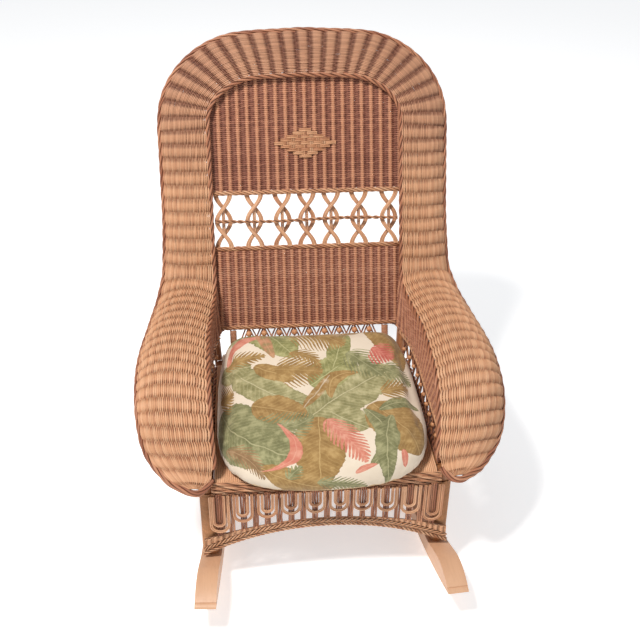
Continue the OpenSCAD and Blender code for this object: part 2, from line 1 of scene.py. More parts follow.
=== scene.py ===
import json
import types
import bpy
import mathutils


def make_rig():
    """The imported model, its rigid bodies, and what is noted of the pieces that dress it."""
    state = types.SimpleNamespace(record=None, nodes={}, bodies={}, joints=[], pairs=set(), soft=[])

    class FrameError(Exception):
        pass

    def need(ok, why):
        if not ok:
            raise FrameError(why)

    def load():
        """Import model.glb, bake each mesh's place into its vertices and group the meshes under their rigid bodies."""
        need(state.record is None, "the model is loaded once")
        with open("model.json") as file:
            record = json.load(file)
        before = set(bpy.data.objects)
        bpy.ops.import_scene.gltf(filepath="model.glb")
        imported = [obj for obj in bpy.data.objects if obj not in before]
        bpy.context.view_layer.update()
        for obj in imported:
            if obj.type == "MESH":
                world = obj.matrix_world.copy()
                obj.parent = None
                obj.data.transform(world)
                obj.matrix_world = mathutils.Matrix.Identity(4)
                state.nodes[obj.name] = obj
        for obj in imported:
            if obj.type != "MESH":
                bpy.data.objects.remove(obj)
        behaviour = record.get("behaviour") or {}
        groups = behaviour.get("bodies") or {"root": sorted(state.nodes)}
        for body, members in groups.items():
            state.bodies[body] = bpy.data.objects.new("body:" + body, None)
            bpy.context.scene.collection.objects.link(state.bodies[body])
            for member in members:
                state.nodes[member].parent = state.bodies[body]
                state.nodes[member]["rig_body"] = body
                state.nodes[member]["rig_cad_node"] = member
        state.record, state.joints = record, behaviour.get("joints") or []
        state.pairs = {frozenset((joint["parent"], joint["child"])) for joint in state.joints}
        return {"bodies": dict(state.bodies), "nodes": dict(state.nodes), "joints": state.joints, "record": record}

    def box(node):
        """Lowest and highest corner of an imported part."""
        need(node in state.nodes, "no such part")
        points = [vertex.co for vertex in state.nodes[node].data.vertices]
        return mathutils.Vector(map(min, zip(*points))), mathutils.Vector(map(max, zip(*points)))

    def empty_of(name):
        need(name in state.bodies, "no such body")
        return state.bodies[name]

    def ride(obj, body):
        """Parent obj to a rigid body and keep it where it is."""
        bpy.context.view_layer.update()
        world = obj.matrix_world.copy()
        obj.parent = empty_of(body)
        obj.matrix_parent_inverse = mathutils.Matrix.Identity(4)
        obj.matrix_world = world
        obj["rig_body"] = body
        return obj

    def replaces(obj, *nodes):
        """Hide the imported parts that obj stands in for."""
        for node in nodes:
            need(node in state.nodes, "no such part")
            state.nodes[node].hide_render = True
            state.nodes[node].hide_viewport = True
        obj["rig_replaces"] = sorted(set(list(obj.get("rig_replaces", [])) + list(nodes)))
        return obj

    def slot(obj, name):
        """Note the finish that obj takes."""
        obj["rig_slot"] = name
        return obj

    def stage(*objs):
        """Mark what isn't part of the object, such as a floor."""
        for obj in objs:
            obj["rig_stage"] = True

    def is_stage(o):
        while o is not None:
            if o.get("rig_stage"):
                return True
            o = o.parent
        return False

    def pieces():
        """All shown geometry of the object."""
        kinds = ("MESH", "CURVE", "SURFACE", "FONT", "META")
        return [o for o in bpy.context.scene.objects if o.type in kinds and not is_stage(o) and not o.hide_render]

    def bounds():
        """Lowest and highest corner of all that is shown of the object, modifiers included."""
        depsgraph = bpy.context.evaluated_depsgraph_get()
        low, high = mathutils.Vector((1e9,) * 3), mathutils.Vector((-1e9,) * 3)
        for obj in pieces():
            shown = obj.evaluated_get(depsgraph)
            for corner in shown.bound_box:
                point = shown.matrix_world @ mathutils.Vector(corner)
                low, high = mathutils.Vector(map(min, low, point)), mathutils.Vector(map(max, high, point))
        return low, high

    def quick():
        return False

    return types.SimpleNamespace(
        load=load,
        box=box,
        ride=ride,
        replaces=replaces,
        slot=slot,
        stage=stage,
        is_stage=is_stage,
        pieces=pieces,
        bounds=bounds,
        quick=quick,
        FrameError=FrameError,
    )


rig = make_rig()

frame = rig.load()

import json
import math

import bmesh
import bpy
import numpy as np
from mathutils import Vector

CAD_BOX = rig.bounds()
NODES = frame["nodes"]
scene = bpy.context.scene
RNG = np.random.default_rng(11)
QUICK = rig.quick()

# =====================================================================
# The chair's own curves, in millimetres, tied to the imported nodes' boxes
# =====================================================================
def mm(node):
    lo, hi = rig.box(node)
    return np.array(lo) * 1000.0, np.array(hi) * 1000.0


seat_h = float(mm("seat_deck")[1][2])
# the inner braid's crest over the arm, and the outer braid's widest point, place the band
outer_lo, outer_hi = mm("outer_border_braid")
arm_out = float(outer_hi[0]) - 9.0
arm_in, arm_h, arm_out_h = 241.0, 447.0, 406.0
recline = math.radians(20.7)
back_in, back_out, arch_in, arch_out = 226.0, 337.0, 604.0, 703.0
back_y, back_z = 171.0, 340.0
leg_x, leg_y, rear_y = 249.0, -272.0, 150.0
_w = mm("right_rear_leg_wrap")
rear_x = float((_w[0][0] + _w[1][0]) / 2)
_w = mm("right_front_leg_wrap")
leg_x, leg_y = float((_w[0][0] + _w[1][0]) / 2), float((_w[0][1] + _w[1][1]) / 2)
_w = mm("right_rear_leg_wrap")
rear_y = float((_w[0][1] + _w[1][1]) / 2)
UP = np.array([0.0, math.sin(recline), math.cos(recline)])       # up the back
FR = np.array([0.0, -math.cos(recline), math.sin(recline)])      # out of the front of the back
X = np.array([1.0, 0.0, 0.0])
Y = np.array([0.0, 1.0, 0.0])
Z = np.array([0.0, 0.0, 1.0])


def bp(x, L, f):
    return np.array([x, back_y, back_z]) * [1, 1, 1] + L * UP + f * FR


def bpv(x, L, f):
    x, L, f = np.broadcast_arrays(np.asarray(x, float), np.asarray(L, float), np.asarray(f, float))
    return x[..., None] * X + np.array([0, back_y, back_z]) + L[..., None] * UP + f[..., None] * FR


back_L = [185, 235, 290, 350, 410, 460]
corner = [math.radians(a) for a in (0, 15, 30, 45, 60, 75, 90)]
in_cx, in_cl, out_cx, out_cl = 91.0, arch_in - 100.0, 115.0, arch_out - 205.0
f_in, f_out = 15.0, -25.0
half_in = [(263, -317, seat_h + 4), (247, -304, seat_h + 6), (236, -290, seat_h + 20), (233, -275, seat_h + 47),
           (235, -261, arm_h - 95), (236, -246, arm_h - 67), (237, -226, arm_h - 40), (238, -198, arm_h - 19),
           (arm_in - 2, -162, arm_h - 6), (arm_in - 1, -115, arm_h - 1), (arm_in, -60, arm_h), (arm_in, 0, arm_h),
           (arm_in - 4, 60, arm_h - 1), (arm_in - 9, 115, arm_h - 2), (228, 158, arm_h), (back_in, 186, arm_h + 10),
           bp(back_in, 146, f_in)]
half_in += [bp(back_in, L, f_in) for L in back_L]
half_in += [bp(in_cx + (back_in - in_cx) * math.cos(a), in_cl + (arch_in - in_cl) * math.sin(a), f_in) for a in corner]
half_in += [bp(in_cx * k / 3, arch_in + (1 - k / 3) * 3, f_in) for k in (2, 1, 0)]
half_out = [(285, -317, seat_h + 4), (318, -297, seat_h + 6), (347, -268, seat_h + 20), (367, -243, seat_h + 35),
            (379, -220, arm_out_h - 74), (385, -197, arm_out_h - 50), (389, -170, arm_out_h - 29),
            (arm_out - 1, -140, arm_out_h - 15), (arm_out, -108, arm_out_h - 6), (arm_out, -70, arm_out_h),
            (arm_out - 2, -30, arm_out_h + 5), (384, 18, arm_out_h + 10), (376, 66, arm_out_h + 15),
            (368, 118, arm_out_h + 20), (359, 170, arm_out_h + 27), (352, 213, arm_out_h + 41), bp(345, 146, f_out)]
half_out += [bp(back_out + (5 - 3 * i if i < 2 else 0), back_L[i], f_out) for i in range(6)]
half_out += [bp(out_cx + (back_out - out_cx) * math.cos(a), out_cl + (arch_out - out_cl) * math.sin(a), f_out) for a in corner]
half_out += [bp(out_cx * k / 3, arch_out + (1 - k / 3) * 5, f_out) for k in (2, 1, 0)]
half_h = [5, 12, 18, 24, 29, 33, 37, 40, 42, 42, 42, 42, 40, 38, 35, 31, 27] + [25, 24, 23, 22, 22, 22] + [22] * 10
half_in, half_out, half_h = np.array(half_in, float), np.array(half_out, float), np.array(half_h, float)
M = len(half_in) - 1
flip = np.array([-1.0, 1, 1])
edge_in = np.vstack([half_in, half_in[:-1][::-1] * flip])
edge_out = np.vstack([half_out, half_out[:-1][::-1] * flip])
rise = np.concatenate([half_h, half_h[:-1][::-1]])[:, None]


def crv(P, u):
    """Catmull-Rom through the rows of P at the parameters u."""
    u = np.asarray(u, float)
    n = len(P) - 1
    i = np.clip(np.floor(u).astype(int), 0, n - 1)
    t = (u - i)[..., None]
    a, b, c, d = P[np.maximum(i - 1, 0)], P[i], P[i + 1], P[np.minimum(i + 2, n)]
    return 0.5 * (2 * b + (c - a) * t + (2 * a - 5 * b + 4 * c - d) * t * t + (3 * b - 3 * c + d - a) * t ** 3)


def unit(v):
    return v / np.maximum(np.linalg.norm(v, axis=-1, keepdims=True), 1e-9)


def Cu(u):
    return unit(crv(edge_out, u) - crv(edge_in, u))


def Mu(u):
    return (crv(edge_out, u) + crv(edge_in, u)) / 2


def Tu(u):
    u = np.asarray(u, float)
    return unit(Mu(np.minimum(2 * M, u + 0.1)) - Mu(np.maximum(0, u - 0.1)))


def Nu(u):
    return unit(np.cross(Cu(u), Tu(u)))


def bulge(t):
    return np.maximum(0, 4 * t * (1 - t)) ** 0.75


def band(u, t, d=0.0):
    u, t, d = np.broadcast_arrays(np.asarray(u, float), np.asarray(t, float), np.asarray(d, float))
    return (crv(edge_in, u) * (1 - t[..., None]) + crv(edge_out, u) * t[..., None]
            + Nu(u) * (crv(rise, u) * bulge(t)[..., None] - d[..., None]))


# arc length of the middle of the band, for evenly spaced stakes
_u = np.linspace(0, 2 * M, 4001)
_m = band(_u, 0.5)
_s = np.concatenate([[0], np.cumsum(np.linalg.norm(np.diff(_m, axis=0), axis=1))])
BAND_LEN = float(_s[-1])


def u_of_s(s):
    return np.interp(s, _s, _u)


def s_of_u(u):
    return np.interp(u, _u, _s)


# =====================================================================
# Mesh building
# =====================================================================
class Build:
    """Collects strands of reed into one mesh, with attributes for the shader and its own UV strips."""

    def __init__(self):
        self.v, self.q, self.c, self.at, self.uvq, self.uvc, self.n, self.strips = [], [], [], [], [], [], 0, 0

    def tubes(self, P, N, r, sides=6, rnd=None, closed=False, tone=0.0, flat=1.0, crest=None, start=0.0):
        """P, N: (m, n, 3) paths and reference normals. r: scalar or (m, n)."""
        P = np.asarray(P, float)
        if P.ndim == 2:
            P = P[None]
        N = np.broadcast_to(np.asarray(N, float), P.shape)
        m, n = P.shape[:2]
        if closed:
            T = np.roll(P, -1, 1) - np.roll(P, 1, 1)
        else:
            T = np.gradient(P, axis=1)
        T = unit(T)
        B = unit(np.cross(T, N))
        N2 = np.cross(B, T)
        r = np.broadcast_to(np.asarray(r, float), (m, n))
        a = np.arange(sides) * 2 * math.pi / sides
        ca, sa = np.cos(a), np.sin(a)
        V = (P[:, :, None, :] + r[:, :, None, None] * (flat * ca[None, None, :, None] * N2[:, :, None, :]
                                                       + sa[None, None, :, None] * B[:, :, None, :]))
        if rnd is None:
            rnd = RNG.random(m)
        rnd = np.broadcast_to(np.asarray(rnd, float), (m,))
        seg = np.linalg.norm(np.diff(P, axis=1), axis=2)
        sl = np.concatenate([np.zeros((m, 1)), np.cumsum(seg, 1)], 1) / 1000.0
        at = np.zeros((m, n, sides, 5))
        at[..., 0] = rnd[:, None, None]
        # hgt: how far the surface faces out of the strand, blended with how far the strand lies out of the weave
        # (crest); the reed shader paints shade, with some grime, where it is low
        at[..., 1] = ca[None, None, :] if crest is None else 0.5 * ca[None, None, :] + 0.5 * np.broadcast_to(crest, (m, n))[:, :, None]
        at[..., 2] = start + sl[:, :, None] + rnd[:, None, None] * 3.7
        at[..., 3] = a[None, None, :] / (2 * math.pi)
        at[..., 4] = tone if np.ndim(tone) == 0 else np.broadcast_to(tone, (m, n))[:, :, None]
        idx = self.n + np.arange(m * n * sides).reshape(m, n, sides)
        nn = n if closed else n - 1
        i0 = idx
        i1 = np.roll(idx, -1, 1) if closed else None
        A = idx[:, :nn]
        Bn = (np.roll(idx, -1, 1) if closed else idx[:, 1:])[:, :nn]
        q = np.stack([A, Bn, np.roll(Bn, -1, 2), np.roll(A, -1, 2)], -1).reshape(-1, 4)
        self.q.append(q[:, ::-1])
        k = np.arange(sides)
        uu = np.arange(n + 1) / max(nn, 1)
        strip = self.strips + np.arange(m)
        u0 = np.broadcast_to(uu[:nn][None, :, None], (m, nn, sides))
        u1 = np.broadcast_to(uu[1:nn + 1][None, :, None], (m, nn, sides))
        v0 = np.broadcast_to(strip[:, None, None] + 0.08 + 0.84 * k[None, None, :] / sides, (m, nn, sides))
        v1 = np.broadcast_to(strip[:, None, None] + 0.08 + 0.84 * (k[None, None, :] + 1) / sides, (m, nn, sides))
        uv = np.stack([np.stack([u0, v0], -1), np.stack([u1, v0], -1), np.stack([u1, v1], -1), np.stack([u0, v1], -1)], -2)
        self.uvq.append(uv.reshape(-1, 4, 2)[:, ::-1])
        if not closed:
            for e, col in ((0, idx[:, 0, :]), (1, idx[:, -1, ::-1])):
                self.c.append(col)
                uvc = np.stack([np.full((m, sides), 0.0 if e == 0 else 1.0), np.broadcast_to(strip[:, None] + 0.5, (m, sides))], -1)
                self.uvc.append(uvc)
        self.strips += m
        self.v.append(V.reshape(-1, 3))
        self.at.append(at.reshape(-1, 5))
        self.n += m * n * sides

    def balls(self, C, r, axis=Z, rings=8, segs=12, rnd=None, tone=0.0, hole=0.0, squash=1.0):
        """Turned beads: a ball on an axis with its poles closed on the reed inside."""
        C = np.atleast_2d(C)
        for j, c in enumerate(C):
            ph = np.linspace(0.0, math.pi, rings + 1)
            A = unit(np.asarray(axis, float))
            S = unit(np.cross(A, [0.31, 0.77, 0.2]))
            Q = np.cross(A, S)
            th = np.arange(segs) * 2 * math.pi / segs
            rad = np.maximum(np.sin(ph) * r, 0.15 * r)
            P = (c + (np.cos(ph) * r * squash)[:, None, None] * A + rad[:, None, None] * (np.cos(th)[None, :, None] * S + np.sin(th)[None, :, None] * Q))
            at = np.zeros((rings + 1, segs, 5))
            at[..., 0] = RNG.random() if rnd is None else rnd
            at[..., 1] = 1.0
            at[..., 2] = (ph / math.pi * 0.01)[:, None] + at[..., 0] * 3
            at[..., 3] = (th / (2 * math.pi))[None]
            at[..., 4] = tone
            idx = self.n + np.arange((rings + 1) * segs).reshape(rings + 1, segs)
            q = np.stack([idx[:-1], idx[1:], np.roll(idx[1:], -1, 1), np.roll(idx[:-1], -1, 1)], -1).reshape(-1, 4)
            self.q.append(q)
            k = np.arange(segs)
            uu = np.arange(rings + 1) / rings
            u0 = np.broadcast_to(uu[:-1][:, None], (rings, segs))
            u1 = np.broadcast_to(uu[1:][:, None], (rings, segs))
            v0 = np.broadcast_to(self.strips + 0.08 + 0.84 * k[None] / segs, (rings, segs))
            v1 = np.broadcast_to(self.strips + 0.08 + 0.84 * (k[None] + 1) / segs, (rings, segs))
            self.uvq.append(np.stack([np.stack([u0, v0], -1), np.stack([u1, v0], -1), np.stack([u1, v1], -1), np.stack([u0, v1], -1)], -2).reshape(-1, 4, 2))
            for e, col in ((0, idx[0][None, ::-1]), (1, idx[-1][None])):
                self.c.append(col)
                self.uvc.append(np.broadcast_to(np.array([float(e), self.strips + 0.5]), (1, segs, 2)))
            self.strips += 1
            self.v.append(P.reshape(-1, 3))
            self.at.append(at.reshape(-1, 5))
            self.n += (rings + 1) * segs

    def make(self, name, mat, body, slot, replaces=()):
        V = np.concatenate(self.v) / 1000.0
        at = np.concatenate(self.at)
        Q = np.concatenate(self.q)
        uvs = [np.concatenate(self.uvq).reshape(-1, 2)]
        loops = [Q.reshape(-1)]
        tot = [np.full(len(Q), 4)]
        for c, uvc in zip(self.c, self.uvc):
            loops.append(np.asarray(c).reshape(-1))
            tot.append(np.full(len(c), c.shape[1]))
            uvs.append(np.asarray(uvc).reshape(-1, 2))
        loops, tot, uv = np.concatenate(loops), np.concatenate(tot), np.concatenate(uvs).copy()
        # strips stacked in columns, so that a piece with many short reeds still gets square texels
        cols = max(1, int(math.sqrt(self.strips / 40.0)))
        per = math.ceil(self.strips / cols)
        col = np.floor(np.clip(uv[:, 1], 0, self.strips - 1e-6) / per)
        uv[:, 1] = (uv[:, 1] - col * per) / per
        uv[:, 0] = (uv[:, 0] * 0.98 + 0.01 + col) / cols
        me = bpy.data.meshes.new(name)
        me.vertices.add(len(V))
        me.vertices.foreach_set("co", V.astype(np.float32).ravel())
        me.loops.add(len(loops))
        me.loops.foreach_set("vertex_index", loops.astype(np.int32))
        me.polygons.add(len(tot))
        start = np.concatenate([[0], np.cumsum(tot)[:-1]])
        me.polygons.foreach_set("loop_start", start.astype(np.int32))
        me.polygons.foreach_set("loop_total", tot.astype(np.int32))
        me.polygons.foreach_set("use_smooth", (tot == 4))
        me.update(calc_edges=True)
        lay = me.uv_layers.new(name="OFBake")
        lay.data.foreach_set("uv", uv.astype(np.float32).ravel())
        for i, nm in enumerate(("rnd", "hgt", "sl", "ang", "tone")):
            a = me.attributes.new(nm, "FLOAT", "POINT")
            a.data.foreach_set("value", at[:, i].astype(np.float32))
        me.validate()
        ob = bpy.data.objects.new(name, me)
        scene.collection.objects.link(ob)
        me.materials.append(mat)
        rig.ride(ob, body)
        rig.slot(ob, slot)
        if replaces:
            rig.replaces(ob, *replaces)
        return ob


def resample(P, step, extra=None):
    """Even steps along a polyline; extra is a list of arrays sampled the same way."""
    P = np.asarray(P, float)
    s = np.concatenate([[0], np.cumsum(np.linalg.norm(np.diff(P, axis=0), axis=1))])
    n = max(2, int(round(s[-1] / step)))
    q = np.linspace(0, s[-1], n + 1)
    out = np.stack([np.interp(q, s, P[:, k]) for k in range(3)], 1)
    if extra is None:
        return out, q
    return out, q, [np.stack([np.interp(q, s, e[:, k]) for k in range(e.shape[1])], 1) for e in extra]


def twist(b, P, N, strands, R, r, lay, step=3.2, sides=7, phase=0.0, tone=0.0, rnd=None, squash=1.0, taper=0.0):
    """A twisted rope along P. R is the helix radius, r the strand radius, lay the length of a full turn."""
    P, q, (N,) = resample(P, step, [np.asarray(N, float)])
    T = unit(np.gradient(P, axis=0))
    B = unit(np.cross(T, N))
    N2 = np.cross(B, T)
    k = 1.0
    if taper > 0:
        e = np.minimum(q, q[-1] - q) / taper
        k = np.clip(e, 0.25, 1.0) ** 0.5
    k = np.broadcast_to(k, q.shape)
    for j in range(strands):
        a = 2 * math.pi * (q / lay + j / strands) + phase
        D = np.cos(a)[:, None] * N2 * squash + np.sin(a)[:, None] * B
        b.tubes((P + (R * k)[:, None] * D)[None], D[None], (r * k)[None], sides=sides, tone=tone,
                rnd=None if rnd is None else [rnd[j % len(rnd)]])


# =====================================================================
# Materials
# =====================================================================
def srgb(r, g, b):
    def f(c):
        c /= 255.0
        return c / 12.92 if c <= 0.04045 else ((c + 0.055) / 1.055) ** 2.4
    return (f(r), f(g), f(b), 1.0)


class Tree:
    def __init__(self, nt):
        self.nt = nt

    def n(self, kind, **kw):
        nd = self.nt.nodes.new(kind)
        for k, v in kw.items():
            setattr(nd, k, v)
        return nd

    def link(self, a, b):
        self.nt.links.new(a, b)

    def put(self, sock, v):
        if isinstance(v, bpy.types.NodeSocket):
            self.link(v, sock)
        else:
            sock.default_value = v

    def math(self, op, a, b=None, c=None, clamp=False):
        nd = self.n("ShaderNodeMath", operation=op, use_clamp=clamp)
        self.put(nd.inputs[0], a)
        if b is not None:
            self.put(nd.inputs[1], b)
        if c is not None:
            self.put(nd.inputs[2], c)
        return nd.outputs[0]

    def mix(self, f, a, b, blend="MIX"):
        nd = self.n("ShaderNodeMix", data_type="RGBA", blend_type=blend)
        self.put(nd.inputs[0], f)
        self.put(nd.inputs[6], a)
        self.put(nd.inputs[7], b)
        return nd.outputs[2]

    def ramp(self, f, stops, interp="LINEAR"):
        nd = self.n("ShaderNodeValToRGB")
        nd.color_ramp.interpolation = interp
        el = nd.color_ramp.elements
        el[0].position, el[0].color = stops[0]
        el[1].position, el[1].color = stops[-1]
        for p, c in stops[1:-1]:
            e = el.new(p)
            e.color = c
        self.put(nd.inputs[0], f)
        return nd.outputs[0]

    def range(self, v, a, b, c=0.0, d=1.0, smooth=False):
        nd = self.n("ShaderNodeMapRange")
        if smooth:
            nd.interpolation_type = "SMOOTHSTEP"
        nd.clamp = True
        self.put(nd.inputs[0], v)
        for i, x in enumerate((a, b, c, d)):
            self.put(nd.inputs[i + 1], x)
        return nd.outputs[0]

    def attr(self, name):
        nd = self.n("ShaderNodeAttribute", attribute_name=name, attribute_type="GEOMETRY")
        return nd.outputs["Fac"]

    def noise(self, vec, scale, detail=3.0, rough=0.55, dist=0.0, dims="3D"):
        nd = self.n("ShaderNodeTexNoise", noise_dimensions=dims)
        if vec is not None:
            self.link(vec, nd.inputs["Vector"])
        nd.inputs["Scale"].default_value = scale
        nd.inputs["Detail"].default_value = detail
        nd.inputs["Roughness"].default_value = rough
        nd.inputs["Distortion"].default_value = dist
        return nd.outputs[0]

    def xyz(self, x, y, z):
        nd = self.n("ShaderNodeCombineXYZ")
        for i, v in enumerate((x, y, z)):
            self.put(nd.inputs[i], v)
        return nd.outputs[0]


def new_mat(name):
    m = bpy.data.materials.new(name)
    m.use_nodes = True
    nt = m.node_tree
    for nd in list(nt.nodes):
        nt.nodes.remove(nd)
    t = Tree(nt)
    out = t.n("ShaderNodeOutputMaterial")
    bsdf = t.n("ShaderNodeBsdfPrincipled")
    t.link(bsdf.outputs[0], out.inputs[0])
    return m, t, bsdf


def reed_material(name, tones, dark, shade_and_grime=0.85, rough=0.5, zmix=None, fibre=1.0, crest=None):
    """Round reed: tone per strand, long fibres, dark specks and joints, and painted shade, with some grime, down
    between the strands and on their inward sides.
    """
    m, t, bsdf = new_mat(name)
    rnd, hgt, sl, ang, tone = (t.attr(k) for k in ("rnd", "hgt", "sl", "ang", "tone"))
    geo = t.n("ShaderNodeNewGeometry")
    pos = geo.outputs["Position"]
    col = t.ramp(rnd, [(0.0, tones[0]), (0.3, tones[1]), (0.6, tones[2]), (1.0, tones[3])])
    # higher up (between zmix[4] and zmix[5] metres) a darker, redder palette blends in: partly reed less faded by sun,
    # partly painted shade
    if zmix is not None:
        sep = t.n("ShaderNodeSeparateXYZ")
        t.link(pos, sep.inputs[0])
        col2 = t.ramp(rnd, [(0.0, zmix[0]), (0.3, zmix[1]), (0.6, zmix[2]), (1.0, zmix[3])])
        col = t.mix(t.range(sep.outputs[2], zmix[4], zmix[5], smooth=True), col, col2)
    # long slow change of tone along each strand, and broad sun-faded patches over the chair
    along = t.noise(t.xyz(t.math("MULTIPLY", sl, 14.0), t.math("MULTIPLY", rnd, 91.0), 0.0), 1.0, 3.0)
    col = t.mix(t.range(along, 0.35, 0.75, 0.0, 0.55), col, t.mix(0.5, col, dark))
    patch = t.noise(pos, 7.0, 3.0)
    col = t.mix(t.range(patch, 0.45, 0.75, 0.0, 0.35), col, t.mix(0.45, col, tones[3]))
    # fine fibres along the strand
    fib = t.noise(t.xyz(t.math("MULTIPLY", sl, 60.0), t.math("MULTIPLY", ang, 26.0), t.math("MULTIPLY", rnd, 37.0)), 1.0, 4.0, 0.65)
    col = t.mix(t.range(fib, 0.3, 0.75, 0.28 * fibre, 0.0), col, dark)
    # joints and specks
    speck = t.noise(t.xyz(t.math("MULTIPLY", sl, 45.0), t.math("MULTIPLY", ang, 2.0), t.math("MULTIPLY", rnd, 53.0)), 1.0, 2.0)
    col = t.mix(t.range(speck, 0.68, 0.76, 0.0, 0.75), col, dark)
    # painted shade, with some grime, where the strand turns down into the weave and on its inward side
    g = t.range(hgt, -0.35, 0.75, shade_and_grime, 0.0, smooth=True)
    col = t.mix(g, col, dark)
    # the tone attribute lightens (+) or darkens (-) strands: whole strands by their own colour, a painted highlight
    # where a weft crests over a stake, and painted shade on the packing strand behind a row
    col = t.mix(t.range(tone, 0.0, 1.0, 0.0, 1.0), col, t.mix(0.75, col, crest or tones[3]))
    col = t.mix(t.range(tone, 0.0, -1.0, 0.0, 1.0), col, t.mix(0.7, col, dark))
    t.put(bsdf.inputs["Base Color"], col)
    t.put(bsdf.inputs["Roughness"], t.range(fib, 0.3, 0.7, rough + 0.14, rough - 0.06))
    bsdf.inputs["Specular IOR Level"].default_value = 0.42
    bmp = t.n("ShaderNodeBump")
    bmp.inputs["Strength"].default_value = 0.35
    bmp.inputs["Distance"].default_value = 0.0006
    t.put(bmp.inputs["Height"], fib)
    t.link(bmp.outputs[0], bsdf.inputs["Normal"])
    return m


def wood_material(name, light, mid, dark, scale=1.0, axis=1, rough=0.42, wear=None):
    """Long straight grain along one axis, with growth bands, pores and a worn satin finish."""
    m, t, bsdf = new_mat(name)
    geo = t.n("ShaderNodeNewGeometry")
    sep = t.n("ShaderNodeSeparateXYZ")
    t.link(geo.outputs["Position"], sep.inputs[0])
    c = [sep.outputs[0], sep.outputs[1], sep.outputs[2]]
    k = [60.0, 60.0, 60.0]
    k[axis] = 2.2
    v = t.xyz(*[t.math("MULTIPLY", c[i], k[i] * scale) for i in range(3)])
    g1 = t.noise(v, 1.0, 5.0, 0.6, 0.6)
    k2 = [420.0, 420.0, 420.0]
    k2[axis] = 9.0
    v2 = t.xyz(*[t.math("MULTIPLY", c[i], k2[i] * scale) for i in range(3)])
    g2 = t.noise(v2, 1.0, 3.0, 0.6)
    col = t.ramp(g1, [(0.25, dark), (0.45, mid), (0.62, light), (0.85, mid)])
    col = t.mix(t.range(g2, 0.52, 0.75, 0.0, 0.5), col, dark)
    big = t.noise(geo.outputs["Position"], 5.0, 2.0)
    col = t.mix(t.range(big, 0.4, 0.7, 0.0, 0.35), col, mid)
    if wear is not None:
        col = t.mix(t.range(geo.outputs["Pointiness"], 0.51, 0.58, 0.0, 0.6), col, wear)
    t.put(bsdf.inputs["Base Color"], col)
    t.put(bsdf.inputs["Roughness"], t.range(g2, 0.3, 0.8, rough, rough + 0.2))
    bsdf.inputs["Coat Weight"].default_value = 0.12
    bsdf.inputs["Coat Roughness"].default_value = 0.35
    bmp = t.n("ShaderNodeBump")
    bmp.inputs["Strength"].default_value = 0.25
    bmp.inputs["Distance"].default_value = 0.0005
    t.put(bmp.inputs["Height"], t.math("ADD", g1, t.math("MULTIPLY", g2, 0.7)))
    t.link(bmp.outputs[0], bsdf.inputs["Normal"])
    return m


DARK = srgb(66, 30, 17)
TAN = [srgb(182, 120, 84), srgb(204, 144, 103), srgb(218, 162, 120), srgb(232, 182, 142)]
RED = [srgb(158, 98, 76), srgb(176, 114, 90), srgb(192, 132, 106), srgb(208, 150, 122)]
RED_HI = [srgb(132, 78, 60), srgb(148, 90, 70), srgb(164, 104, 82), srgb(184, 124, 98)]
MID = [srgb(158, 98, 70), srgb(176, 114, 82), srgb(192, 130, 96), srgb(208, 150, 114)]
HI = [srgb(122, 70, 52), srgb(140, 86, 65), srgb(158, 102, 79), srgb(184, 128, 100)]
mat_band = reed_material("reed_band", TAN, DARK, shade_and_grime=1.0, zmix=HI + [0.60, 0.93])
mat_stake = reed_material("reed_stake", [srgb(206, 146, 98), srgb(214, 158, 108), srgb(224, 170, 120), srgb(232, 182, 134)], DARK, shade_and_grime=0.6)
mat_panel = reed_material("reed_panel", RED, DARK, shade_and_grime=0.9, crest=srgb(206, 149, 112), zmix=RED_HI + [0.50, 0.66])
mat_braid = reed_material("reed_braid", MID, DARK, shade_and_grime=0.7)
mat_light = reed_material("reed_light", TAN, DARK, shade_and_grime=0.6)
mat_wrap = reed_material("reed_wrap", [srgb(176, 112, 70), srgb(190, 128, 82), srgb(206, 146, 98), srgb(216, 160, 112)], DARK, shade_and_grime=0.6)
mat_bead = wood_material("bead_wood", srgb(214, 158, 112), srgb(200, 140, 96), srgb(150, 94, 60), scale=3.0, axis=2)
mat_rocker = wood_material("rocker_wood", srgb(206, 157, 120), srgb(194, 143, 106), srgb(164, 112, 80), scale=0.6, axis=1, wear=srgb(218, 176, 142))
mat_frame = wood_material("frame_wood", srgb(176, 120, 76), srgb(150, 96, 58), srgb(104, 60, 36), scale=0.8, axis=2)
mat_rail = wood_material("rail_wood", srgb(176, 120, 76), srgb(150, 96, 58), srgb(104, 60, 36), scale=0.8, axis=0)


